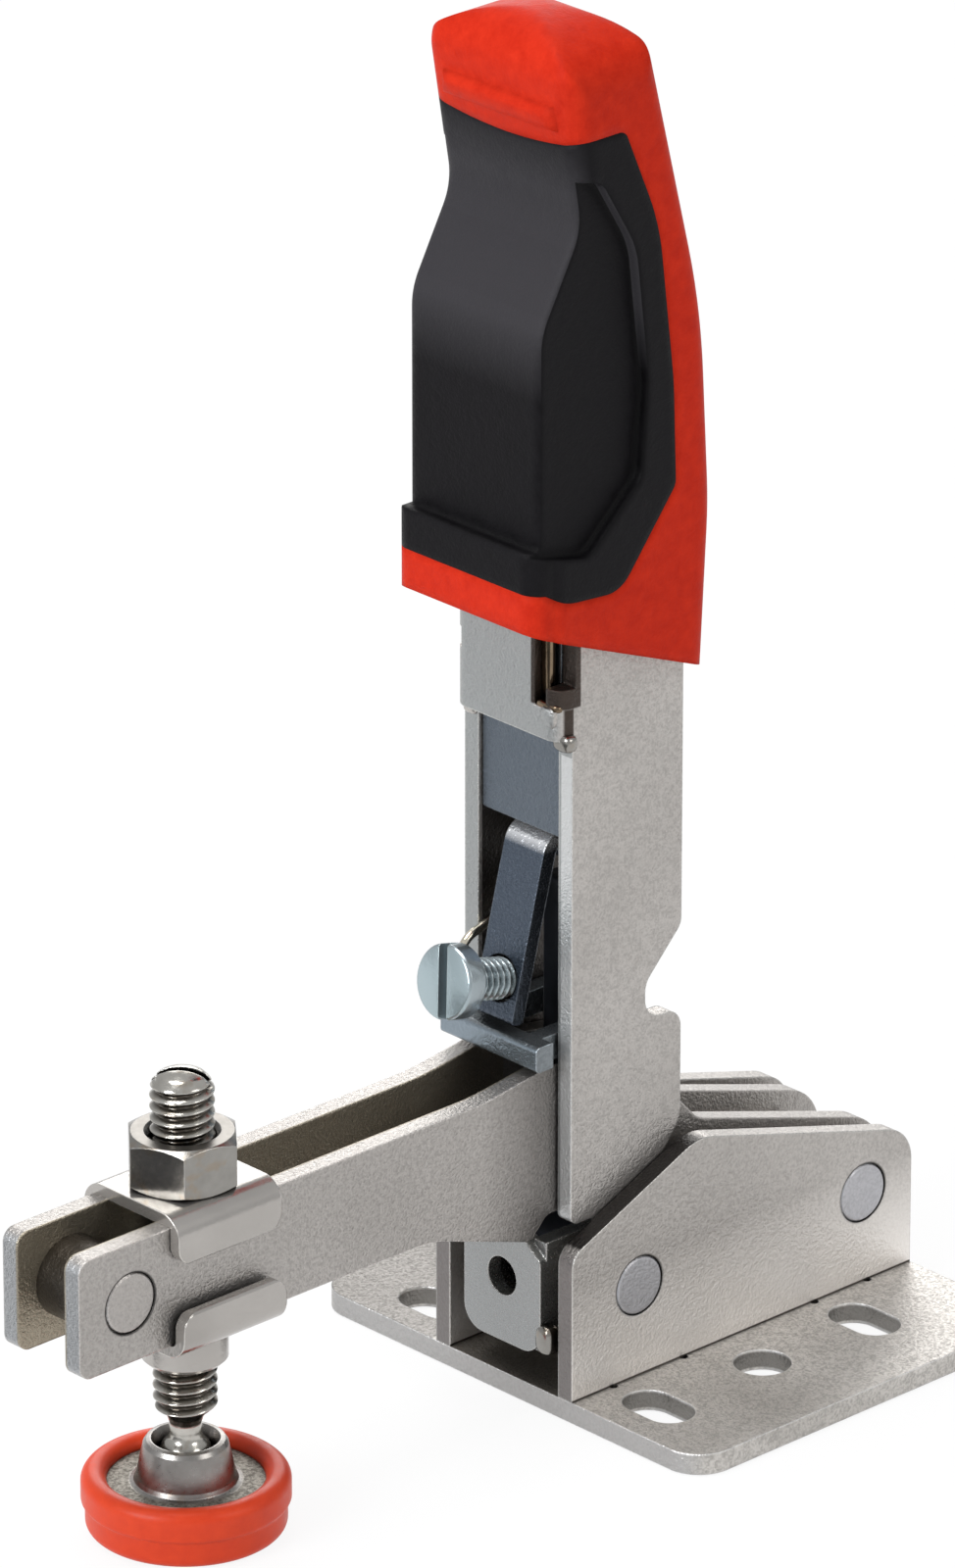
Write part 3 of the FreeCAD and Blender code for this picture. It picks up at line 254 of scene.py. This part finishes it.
def bright_steel(name, light, dark, roughness=0.2, root=None, disc=None, top=None):
    """Polished steel of turned parts, with painted shade in narrow gaps and painted highlights on the
    edges.

    root darkens the thread roots about the spindle's axis: (inner radius, outer radius, from z, to z).
    disc is the radius outside which the face is gritty, and top a duller tint for faces that look up.
    """
    finish = Finish(name, Metallic=1.0)
    cloud = finish.noise(260, 3, 0.6)
    scuff = finish.noise(1500, 3, 0.6)
    colour = finish.blend(cloud, dark, light)
    warm = ((finish.noise(420, 2, 0.5) - 0.56) * 9).clamp() * 0.35
    colour = finish.blend(warm, colour, (0.30, 0.22, 0.14))
    rough = roughness + (scuff - 0.5) * 0.22
    if root:
        inner, outer, foot, head = root
        groove = 1 - ((finish.from_spindle() - inner) / (outer - inner)).clamp()
        groove = groove * finish.within((-1, -1, foot), (1, 1, head), 0.0003)
        colour = finish.blend(groove * 0.92, colour, (0.045, 0.034, 0.022))
    if disc:
        plate = ((finish.from_spindle() - disc) / 0.0004).clamp()
        grit = ((finish.noise(2300, 2, 0.6) - 0.5) * 4 + 0.5).clamp()
        gritty = finish.blend(grit, (0.15, 0.138, 0.118), (0.38, 0.36, 0.32))
        colour = finish.blend(plate, colour, gritty)
        rough = rough + plate * 0.32
    if top:
        level = finish.facing(UPWARDS, 0.9, 0.99)
        colour = finish.blend(level, colour, top)
        rough = rough + level * 0.14
    # painted shade in narrow gaps and inner corners
    colour = finish.blend(finish.openness(0.0022, 0.25, 0.55), (0.02, 0.015, 0.01), colour)
    # painted highlights on edges
    edges = finish.edge_mask(0.00022, 2.4)
    colour = finish.blend(edges * 0.7, colour, (0.94, 0.93, 0.91))
    finish.feed("Base Color", colour)
    finish.feed("Roughness", rough)
    finish.feed("Normal", finish.bump(scuff, 0.22, 0.00006, finish.round_edge(0.0002)))
    return finish.material


def blackened_steel(name):
    """Oxide-blackened bar with long faint streaks, and edges lightened by wear and by a painted highlight.
    """
    finish = Finish(name, Metallic=0.75)
    cloud = finish.noise(120, 4, 0.6)
    streak = finish.noise(600, 3, 0.6, (1, 1, 0.08))
    colour = finish.blend(cloud, (0.018, 0.021, 0.027), (0.055, 0.062, 0.075))
    # edges lightened by wear and by a painted highlight
    edges = finish.edge_mask(0.0004, 2.4)
    colour = finish.blend(edges * 0.8, colour, (0.45, 0.46, 0.48))
    finish.feed("Base Color", colour)
    finish.feed("Roughness", 0.34 + (streak - 0.5) * 0.25)
    finish.feed("Normal", finish.bump(streak, 0.12, 0.00006, finish.round_edge(0.0003)))
    return finish.material


def moulded(name, light, dark, roughness, shine, grain, soft, hollow=0.0, front_sheen=None):
    """Moulded skin: leathery mottling, fine grain and soft edges.

    hollow is the reach of painted shade in the hollows, and the last argument a band of painted sheen on
    the front: (from z, to z, tint).
    """
    finish = Finish(name, Specular_IOR_Level=shine)
    cloud = finish.noise(30, 3, 0.5)
    leather = ((finish.noise(520, 4, 0.68) - 0.5) * 2.6 + 0.5).clamp()
    skin = finish.noise(2400, 3, 0.6)
    colour = finish.blend(cloud * 0.4 + leather * 0.6, dark, light)
    # painted shade in the hollows
    if hollow:
        colour = finish.blend(finish.openness(hollow, 0.35, 0.5), scaled(dark, 0.35), colour)
    # painted sheen: a lighter band on the faces towards the tip
    if front_sheen:
        low, high, tint = front_sheen
        band = finish.within((-0.1, -0.1, low), (0.1, 0.1, high), 0.009)
        band = band * finish.facing(TOWARDS_TIP, 0.35, 0.9)
        colour = finish.blend(band * 0.85, colour, tint)
    finish.feed("Base Color", colour)
    finish.feed("Roughness", roughness + (leather - 0.5) * 0.16 + (skin - 0.5) * 0.14)
    height = skin * 0.6 + leather * 0.5
    finish.feed("Normal", finish.bump(height, grain, 0.00014, finish.round_edge(soft, 8)))
    return finish.material


WARM_LIGHT = (0.52, 0.494, 0.470)
WARM_DARK = (0.42, 0.397, 0.376)
NICKEL_LIGHT = (0.38, 0.368, 0.348)
NICKEL_DARK = (0.20, 0.192, 0.176)
BROWN = (0.03, 0.018, 0.012)

RIVET_R = 0.00405
LINK_HUB = (-0.0138, 0, 0.0153)
ARM_HUB = (0.0258, 0, 0.0153)
TIP_HUB = (-0.0940, 0, 0.0375)
RIVET_RINGS = [(hub, RIVET_R) for hub in (LINK_HUB, ARM_HUB, TIP_HUB)]

INNER_Y = 0.0046


def between_arms(from_x, to_x, tint, soft=0.0001):
    """Tint on the arm's inner faces over a stretch of its length."""
    return patch((from_x, -INNER_Y, 0), (to_x, INNER_Y, 0.2), tint, soft)


SIDE_ZINC = plated_steel(
    "side_zinc", WARM_LIGHT, WARM_DARK, front=(0.30, 0.29, 0.30), rings=RIVET_RINGS,
    patches=[
        # painted light low on the faces towards the near side, dark joint with the base plate, painted
        # shadow of the handle on the slanting edge
        patch((-0.06, -0.03, -0.02), (0.06, 0.03, 0.019), (0.90, 0.86, 0.82), 0.014, TOWARDS_NEAR_SIDE),
        patch((-0.03, -0.02, 0.0020), (0.04, 0.02, 0.00312), (0.05, 0.04, 0.03), aim=TOWARDS_NEAR_SIDE),
        patch(
            (-0.0245, -0.0135, 0.0225), (-0.0020, -0.0090, 0.0335),
            (0.010, 0.008, 0.007), 0.0006, (-0.4, 0, 0.917),
        ),
    ],
)
ARM_ZINC = plated_steel(
    "arm_zinc", (0.49, 0.463, 0.441), (0.38, 0.359, 0.340), 1.1, rings=RIVET_RINGS,
    patches=[
        # painted shade between the plates, painted light by the saddle, deeper painted shade towards the
        # tip, a painted golden reflection at the tip
        between_arms(-0.2, -0.0215, (0.34, 0.30, 0.235)),
        between_arms(-0.0740, -0.0400, (0.88, 0.82, 0.71), 0.008),
        between_arms(-0.0950, -0.0700, (0.07, 0.055, 0.035), 0.003),
        between_arms(-0.2, -0.0925, (0.86, 0.74, 0.52), 0.003),
        # shaded end beside the handle
        patch((-0.0360, -0.02, 0.0), (0.0, 0.02, 0.0600), NEAR_BLACK_BROWN, 0.0095, TOWARDS_NEAR_SIDE, 0.56),
    ],
)
BASE_ZINC = plated_steel(
    "base_zinc", (0.74, 0.71, 0.675), (0.44, 0.417, 0.39), 1.5, 0.42, (0.54, 0.555, 0.58),
    patches=[
        # painted shade on the walls of the holes and on the floor between the side plates, and a darker far
        # flange
        patch((-0.0235, -0.0335, 0.0003), (0.0325, 0.0335, 0.0026), (0.20, 0.19, 0.175), 0.0002),
        patch((-0.0300, -0.0108, 0.0020), (0.0400, 0.0108, 0.0040), (0.12, 0.10, 0.075), 0.0010, UPWARDS),
        patch((-0.0300, 0.0130, 0.0020), (0.0400, 0.0400, 0.0040), NEAR_BLACK_BROWN, 0.0004, UPWARDS, 0.62),
    ],
)
HANDLE_ZINC = plated_steel(
    "handle_zinc", WARM_LIGHT, WARM_DARK, 1.1, front=(0.66, 0.73, 0.775),
    patches=[
        # painted dark-brown reflection in the window and a dark brown strip below it, painted shade inside
        # the channel, painted light on the front edge of the near cheek
        patch((-0.0262, -0.0098, 0.0955), (-0.0216, -0.0044, 0.1078), BROWN, 0.0002),
        patch((-0.0258, -0.0100, 0.0902), (-0.0228, -0.0091, 0.0957), BROWN, 0.0002),
        patch((-0.0225, -0.0074, 0.02), (0.0, 0.0074, 0.0915), (0.022, 0.018, 0.015)),
        patch((-0.0270, -0.0100, 0.02), (-0.0215, -0.0076, 0.0890), (0.66, 0.67, 0.67), aim=TOWARDS_TIP),
    ],
)
ZINC_FINE = plated_steel(
    "zinc_fine", (0.50, 0.478, 0.452), (0.33, 0.312, 0.292), 0.14, 0.2, (0.92, 0.92, 0.92), 0.00025
)
RIVET = plated_steel("rivet_zinc", (0.485, 0.482, 0.505), (0.40, 0.398, 0.415), 0.7, 0.36)
TIP_RIVET = plated_steel(
    "tip_rivet_zinc", (0.48, 0.452, 0.43), (0.39, 0.368, 0.35), 0.8, 0.34,
    # painted shade on the rivet between the arm plates
    patches=[between_arms(-0.2, -0.0215, (0.030, 0.022, 0.013))],
)
BRIGHT = bright_steel("bright_nickel", NICKEL_LIGHT, NICKEL_DARK, 0.22)
NUT_STEEL = bright_steel("nut_nickel", NICKEL_LIGHT, NICKEL_DARK, 0.22, top=(0.235, 0.222, 0.205))
# polished steel tinted brown as a painted reflection, for the pieces in the handle window
BROWN_REFLECTION_STEEL = bright_steel("brown_reflection_steel", (0.33, 0.25, 0.17), (0.10, 0.07, 0.045), 0.16)
SPINDLE_STEEL = bright_steel(
    "spindle_steel", (0.62, 0.60, 0.56), (0.36, 0.345, 0.31), 0.18, root=(0.0033, 0.00385, 0.0166, 0.0600)
)
FOOT_STEEL = bright_steel("foot_steel", (0.40, 0.385, 0.37), (0.17, 0.16, 0.15), 0.3, disc=0.0068)
SPRING_STEEL = bright_steel("spring_steel", (0.85, 0.80, 0.68), (0.62, 0.56, 0.45))
BLUE_ZINC = plated_steel(
    "blue_zinc", (0.44, 0.50, 0.525), (0.27, 0.31, 0.33), 0.2, 0.24, (0.92, 0.99, 1.0), 0.00012,
    # painted shade reaches into the narrow gap behind the head
    gaps=(0.0011, 0.36, 0.40),
)
LOCK_ZINC = plated_steel("lock_zinc", (0.30, 0.33, 0.35), (0.09, 0.10, 0.108), 0.7, 0.2, edge=0.0003)
LINK_STEEL = plated_steel(
    "link_zinc", (0.38, 0.375, 0.36), (0.22, 0.215, 0.20), 0.8, 0.3, (0.88, 0.92, 0.97)
)
BLUED = plated_steel("blued_plate", (0.155, 0.17, 0.188), (0.062, 0.069, 0.080), 1.3, 0.34)
TONGUE_STEEL = plated_steel(
    "tongue_steel", (0.10, 0.115, 0.14), (0.03, 0.036, 0.046), 0.9, 0.24, edge=0.0003,
    # painted highlight on the bend at the top
    patches=[patch((-0.026, -0.01, 0.0738), (-0.018, 0.01, 0.08), (0.85, 0.86, 0.88), 0.0012)],
)
DARK = blackened_steel("blackened_steel")
RED = moulded("red_moulding", (0.56, 0.028, 0.009), (0.40, 0.013, 0.004), 0.46, 0.05, 0.5, 0.0022)
BLACK = moulded(
    "black_overmould", (0.0075, 0.0068, 0.0082), (0.0030, 0.0026, 0.0034), 0.52, 0.10, 0.6, 0.0013,
    # painted shade in the hollows and a band of painted sheen on the front
    hollow=0.008, front_sheen=(0.138, 0.172, (0.036, 0.034, 0.038)),
)
RING = moulded("ring_rubber", (0.62, 0.052, 0.013), (0.52, 0.036, 0.010), 0.4, 0.22, 0.12, 0.0005)

NODE_FINISH = {
    "base_plate": BASE_ZINC,
    "side_plate_left": SIDE_ZINC,
    "side_plate_right": SIDE_ZINC,
    "link_rivet": RIVET,
    "arm_rivet": RIVET,
    "arm_pivot_spacers": ZINC_FINE,
    "link_pivot_spacers": ZINC_FINE,
    "arm_plate_left": ARM_ZINC,
    "arm_plate_right": ARM_ZINC,
    "arm_tip_rivet": TIP_RIVET,
    "handle_pivot_studs": ZINC_FINE,
    "upper_saddle_washer": ZINC_FINE,
    "lower_saddle_washer": ZINC_FINE,
    "spindle_nut": NUT_STEEL,
    "foot_plate": FOOT_STEEL,
    "foot_ring": RING,
    "handle_channel": HANDLE_ZINC,
    "link": LINK_STEEL,
    "lock_bar": DARK,
    "lock_plate": LOCK_ZINC,
    "slide_plate": BLUED,
    "tongue": TONGUE_STEEL,
    "lock_pin": BRIGHT,
    "lock_spring": BRIGHT,
    "grip_body": RED,
    "grip_cover": BLACK,
}


def dress_nodes():
    for name, material in NODE_FINISH.items():
        item = bpy.data.objects[name]
        item.data.materials.clear()
        item.data.materials.append(material)


def link_object(name, data):
    item = bpy.data.objects.new(name, data)
    bpy.context.scene.collection.objects.link(item)
    return item


def camera():
    """The photograph's long, high three-quarter view."""
    yaw = math.radians(43.32)
    pitch = math.radians(23.3)
    back = Vector((-math.sin(yaw) * math.cos(pitch), -math.cos(yaw) * math.cos(pitch), math.sin(pitch)))
    right = Vector((math.cos(yaw), -math.sin(yaw), 0))
    up = back.cross(right)
    data = bpy.data.cameras.new("view")
    data.sensor_fit = "VERTICAL"
    data.sensor_height = 36
    data.lens = 270
    data.clip_end = 20
    item = link_object("view", data)
    turn = Matrix((right, up, back)).transposed().to_4x4()
    item.matrix_world = Matrix.Translation((-0.9405, -0.9655, 0.6562)) @ turn
    bpy.context.scene.camera = item


def mesh_from(name, shape):
    mesh = bpy.data.meshes.new(name)
    shape.to_mesh(mesh)
    shape.free()
    return mesh


def ride_smooth(name, mesh, body, replaced):
    """Smooth-shaded object that rides on a body, in place of a CAD node if one is named."""
    for face in mesh.polygons:
        face.use_smooth = True
    item = link_object(name, mesh)
    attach(item, body)
    if replaced:
        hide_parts(replaced)
    return item


def mesh_piece(name, shape, material, body, replaced=None):
    bmesh.ops.recalc_face_normals(shape, faces=shape.faces)
    mesh = mesh_from(name, shape)
    mesh.materials.append(material)
    return ride_smooth(name, mesh, body, replaced)


def turned_rows(shape, rows, radius_at, columns, at):
    """Rings of points along a local +Z axis, joined into a closed skin.

    radius_at gives the radius at a height and an angle, and at places the local axis.
    """
    rings = []
    for height in rows:
        ring = []
        for i in range(columns):
            angle = 2 * math.pi * i / columns
            r = radius_at(height, angle)
            ring.append(shape.verts.new(at @ Vector((r * math.cos(angle), r * math.sin(angle), height))))
        rings.append(ring)
    for lower, upper in zip(rings, rings[1:]):
        for i in range(columns):
            j = (i + 1) % columns
            shape.faces.new((lower[i], lower[j], upper[j], upper[i]))
    shape.faces.new(list(reversed(rings[0])))
    shape.faces.new(rings[-1])


def steps(start, end, step):
    """Evenly spaced heights from start to end, about a step apart."""
    count = max(2, round((end - start) / step) + 1)
    return [start + (end - start) * i / (count - 1) for i in range(count)]


def profile_radius(points, height):
    """Radius at a height, read along a profile of (height, radius) points."""
    for (z0, r0), (z1, r1) in zip(points, points[1:]):
        if z0 <= height <= z1:
            return r0 + (r1 - r0) * (height - z0) / max(z1 - z0, 1e-9)
    return points[-1][1] if height > points[-1][0] else points[0][1]


def thread_radius(crest, depth, pitch, height, angle):
    """Thread form with a narrow flat crest, straight flanks and a wider root."""
    crest_share, flank_share = 0.1, 0.72
    turn = (height / pitch - angle / (2 * math.pi)) % 1.0
    from_crest = abs(2 * turn - 1)
    return crest - depth * min(1.0, max(0.0, (from_crest - crest_share) / flank_share))


def cut_box(item, size, matrix):
    """Cut a box out of a piece for good, such as a screwdriver slot, and sharpen its corners."""
    sharp_angle = math.radians(38)
    shape = bmesh.new()
    bmesh.ops.create_cube(shape, size=1.0, matrix=matrix @ Matrix.Diagonal((*size, 1)))
    cutter = link_object("cutter", mesh_from("cutter", shape))
    cut = item.modifiers.new("slot", "BOOLEAN")
    cut.operation = "DIFFERENCE"
    cut.solver = "EXACT"
    cut.object = cutter
    depsgraph = bpy.context.evaluated_depsgraph_get()
    result = bpy.data.meshes.new_from_object(item.evaluated_get(depsgraph))
    item.modifiers.clear()
    item.data = result
    bpy.data.objects.remove(cutter)
    item.data.set_sharp_from_angle(angle=sharp_angle)


def middle_of(node):
    """Middle, low corner and high corner of a CAD node."""
    low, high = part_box(node)
    return [(a + b) / 2 for a, b in zip(low, high)], low, high


def threaded_spindle():
    """Spindle with its thread, neck, ball and slotted dome, in place of the plain solid."""
    middle, low, high = middle_of("spindle")
    crest, depth, pitch = 0.004, 0.00075, 0.0015
    ball_r = 0.0035
    ball_z = low[2] + ball_r
    tip = 0.00002
    thread_foot = ball_z + 0.0072
    top = high[2] - 0.00001
    outline = [(low[2] + tip, 0.0002)]
    for i in range(1, 9):
        angle = -math.pi / 2 + i * (math.pi / 2 + 0.88) / 8
        outline.append((ball_z + ball_r * math.sin(angle), ball_r * math.cos(angle)))
    outline += [
        (ball_z + 0.0034, 0.00205),
        (ball_z + 0.0048, 0.0020),
        (ball_z + 0.0058, 0.0023),
        (ball_z + 0.0066, 0.0030),
        (thread_foot, 0.00405),
        (high[2] - 0.0024, 0.0041),
        (high[2] - 0.0015, 0.0036),
        (high[2] - 0.0007, 0.0028),
        (high[2] - 0.0002, 0.0016),
        (top, 0.0004),
    ]

    def radius_at(height, angle):
        return min(profile_radius(outline, height), thread_radius(crest, depth, pitch, height, angle))

    rows = steps(low[2] + tip, thread_foot, 0.00022) + steps(thread_foot + 0.0001, top, 0.000125)
    shape = bmesh.new()
    turned_rows(shape, rows, radius_at, 44, Matrix.Translation((middle[0], middle[1], 0)))
    item = mesh_piece("threaded_spindle", shape, SPINDLE_STEEL, "spindle", "spindle")
    slot_size = (0.012, 0.0012, 0.0048)
    slot_turn = Matrix.Rotation(math.radians(-52), 4, "Z")
    cut_box(item, slot_size, Matrix.Translation((middle[0], middle[1], high[2])) @ slot_turn)


def threaded_screw():
    """Cheese-head adjusting screw with its thread and slot, in place of the plain solid."""
    joint = next(j for j in frame["joints"] if j["name"] == "screw_turn")
    axis = Vector(joint["axis"]).normalized()
    on_tongue = Vector(joint["pos_m"])
    side = Vector((0, 1, 0))
    up = side.cross(axis)
    turn = Matrix((up, side, axis)).transposed().to_4x4()
    head_reach = 0.0099
    at = Matrix.Translation(on_tongue - axis * head_reach) @ turn
    crest, depth, pitch = 0.0027, 0.0006, 0.001
    neck_end, thread_start, end = 0.0036, 0.0037, 0.0126
    outline = [
        (0.0, 0.0002),
        (0.00001, 0.0044),
        (0.00010, 0.0046),
        (0.00035, 0.0048),
        (0.00275, 0.0048),
        (0.00280, 0.00478),
        (0.00282, 0.0019),
        (neck_end, 0.0019),
        (thread_start, crest),
        (0.0119, crest),
        (end, 0.0021),
    ]

    def radius_at(height, angle):
        wide = profile_radius(outline, height)
        return wide if height < neck_end else min(wide, thread_radius(crest, depth, pitch, height, angle))

    rows = [z for z, _ in outline[:8]] + steps(thread_start, end, 0.0001)
    shape = bmesh.new()
    turned_rows(shape, rows, radius_at, 40, at)
    item = mesh_piece("threaded_screw", shape, BLUE_ZINC, "screw", "adjusting_screw")
    slot_size = (0.013, 0.0015, 0.0038)
    slot_turn = Matrix.Rotation(math.radians(-13), 4, "Z")
    cut_box(item, slot_size, at @ slot_turn)


def wire(name, points, radius, material, body, replaced):
    """Round wire through points, smooth between them."""
    curve = bpy.data.curves.new(name, "CURVE")
    curve.dimensions = "3D"
    curve.bevel_depth = radius
    curve.bevel_resolution = 4
    curve.resolution_u = 10
    curve.use_fill_caps = True
    line = curve.splines.new("BEZIER")
    line.bezier_points.add(len(points) - 1)
    for knot, point in zip(line.bezier_points, points):
        knot.co = point
        knot.handle_left_type = "AUTO"
        knot.handle_right_type = "AUTO"
    curve.materials.append(material)
    drawn = link_object(name, curve)
    mesh = bpy.data.meshes.new_from_object(drawn.evaluated_get(bpy.context.evaluated_depsgraph_get()))
    bpy.data.objects.remove(drawn)
    ride_smooth(name, mesh, body, replaced)


def spring_wire():
    """Torsion spring: a coil and a quarter on the pin, a short rear leg and the leg that ends in a hook."""
    pin, _, _ = middle_of("lock_pin")
    coil_r, coil_y, coil_width, turns, knots = 0.0024, 0.0044, 0.00194, 1.25, 10
    rear = pin[0] + coil_r
    points = [(rear, coil_y, pin[2] + 0.0055), (rear, coil_y, pin[2] + 0.0025)]
    for i in range(knots + 1):
        angle = 2 * math.pi * turns * i / knots
        x = pin[0] + coil_r * math.cos(angle)
        z = pin[2] - coil_r * math.sin(angle)
        points.append((x, coil_y + coil_width * i / knots, z))
    leg = [
        (-0.0172, 0.0660),
        (-0.0205, 0.0627),
        (-0.0234, 0.0614),
        (-0.0256, 0.0606),
        (-0.0268, 0.0593),
        (-0.0275, 0.0576),
    ]
    points += [(x, coil_y + coil_width, z) for x, z in leg]
    wire("spring_wire", points, 0.00058, SPRING_STEEL, "handle", "lock_spring")


def lumpy_piece(name, centre, size, lumps, material, body, segments=20, seed=0.0):
    """Rounded nugget of metal with a slightly uneven skin, as a sheared or rolled corner leaves."""
    squareness = 0.62
    shape = bmesh.new()
    bmesh.ops.create_uvsphere(shape, u_segments=segments, v_segments=segments // 2, radius=1.0)
    for vert in shape.verts:
        x, y, z = vert.co
        squared = [math.copysign(abs(v) ** squareness, v) for v in (x, y, z)]
        wave = 1 + lumps * math.sin(7 * x + seed) * math.cos(9 * z + 2 * seed) * math.sin(8 * y + 1.3)
        vert.co = Vector([c + v * half * wave for c, v, half in zip(centre, squared, size)])
    mesh_piece(name, shape, material, body)


def sheared_corners():
    """Rolled tab and torn lobe below the handle window, the far cheek's nib and the link's rolled foot."""
    for name, centre, size, lumps, material, *mesh_settings in (
        ("cheek_tab", (-0.0236, -0.0088, 0.0911), (0.0010, 0.0016, 0.0012), 0.03, BRIGHT),
        ("window_lobe", (-0.0247, -0.0074, 0.0946), (0.0008, 0.0013, 0.0015), 0.12, HANDLE_ZINC, 24, 0.8),
        ("window_lip", (-0.0244, -0.0070, 0.0957), (0.0009, 0.0021, 0.0006), 0.10, BROWN_REFLECTION_STEEL, 28, 2.1),
        ("window_sleeve", (-0.0236, -0.0058, 0.1008), (0.0006, 0.0010, 0.0054), 0.04, BROWN_REFLECTION_STEEL, 24, 1.1),
        ("far_nib", (-0.0231, 0.0084, 0.0905), (0.0006, 0.0012, 0.0009), 0.03, ZINC_FINE),
    ):
        lumpy_piece(name, centre, size, lumps, material, "handle", *mesh_settings)
    lumpy_piece("link_foot", (-0.0249, -0.0074, 0.0098), (0.0013, 0.0014, 0.0020), 0.05, BRIGHT, "link")


def flat_sheet(name, half):
    shape = bmesh.new()
    bmesh.ops.create_grid(shape, x_segments=1, y_segments=1, size=half)
    return link_object(name, mesh_from(name, shape))


def pale_world():
    """Soft grey-white light all round, which the camera sees as white."""
    world = bpy.data.worlds.new("studio")
    bpy.context.scene.world = world
    world.use_nodes = True
    nodes = Nodes(world.node_tree)
    base = world.node_tree.nodes["Background"]
    base.inputs["Color"].default_value = (0.95, 0.97, 1.0, 1)
    base.inputs["Strength"].default_value = 0.42
    mirrored = nodes.ray("Is Glossy Ray") * 0.35 + nodes.ray("Is Transmission Ray")
    seen = (nodes.ray("Is Camera Ray") + mirrored).clamp()
    surface = world.node_tree.nodes["World Output"].inputs["Surface"]
    nodes.whiten(seen, base.outputs[0], "ShaderNodeBackground", surface)


def white_floor():
    """Floor just under the mounting plane, white to the camera but for the object's soft shadow."""
    floor = flat_sheet("floor", 3.0)
    floor.location.z = FLOOR_Z
    finish = Finish("floor_white", Roughness=0.9)
    grain = finish.noise(3, 2, 0.5)
    finish.feed("Base Color", finish.blend(grain, (0.86, 0.86, 0.86), (0.88, 0.88, 0.88)))
    seen = (finish.ray("Is Camera Ray") + finish.ray("Is Glossy Ray")).clamp() * 0.9
    surface = finish.tree.nodes["Material Output"].inputs["Surface"]
    finish.whiten(seen, finish.shader.outputs[0], "ShaderNodeEmission", surface)
    floor.data.materials.append(finish.material)


def card(name, at, size, turn, colour):
    """Matt card on the floor outside the picture, seen only where bright metal mirrors it."""
    item = flat_sheet(name, 0.5)
    item.scale = (*size, 1)
    item.rotation_euler = (0, 0, math.radians(turn))
    item.location = (*at, CARD_Z)
    item.visible_camera = False
    item.visible_shadow = False
    item.visible_diffuse = False
    finish = Finish(name, Roughness=0.9)
    finish.feed("Base Color", finish.blend(finish.noise(40, 2, 0.5), colour, scaled(colour, 1.3)))
    item.data.materials.append(finish.material)


def soft_light(name, place, size, watts, colour):
    """Round area lamp aimed at the clamp."""
    clamp_middle = Vector((-0.02, 0, 0.08))
    data = bpy.data.lights.new(name, "AREA")
    data.shape = "DISK"
    data.size = size
    data.energy = watts
    data.color = colour
    item = link_object(name, data)
    item.location = place
    item.rotation_euler = (clamp_middle - Vector(place)).to_track_quat("-Z", "Y").to_euler()


def studio():
    pale_world()
    white_floor()
    card("dark_card", (-0.525, 0.039), (0.60, 0.54), -43, (0.04, 0.04, 0.042))
    soft_light("key", (0.25, -1.1, 0.75), 0.6, 3.8, (1.0, 0.985, 0.96))
    soft_light("top", (-0.30, 0.20, 1.25), 0.7, 9.0, (1.0, 1.0, 1.0))
    soft_light("left", (-1.1, 0.0, 0.55), 0.55, 9.0, (0.96, 0.98, 1.0))
    soft_light("back", (0.75, 0.85, 0.55), 0.8, 5.0, (1.0, 0.99, 0.97))


bpy.context.scene.view_settings.view_transform = "Standard"
dress_nodes()
threaded_spindle()
threaded_screw()
spring_wire()
sheared_corners()
camera()
studio()
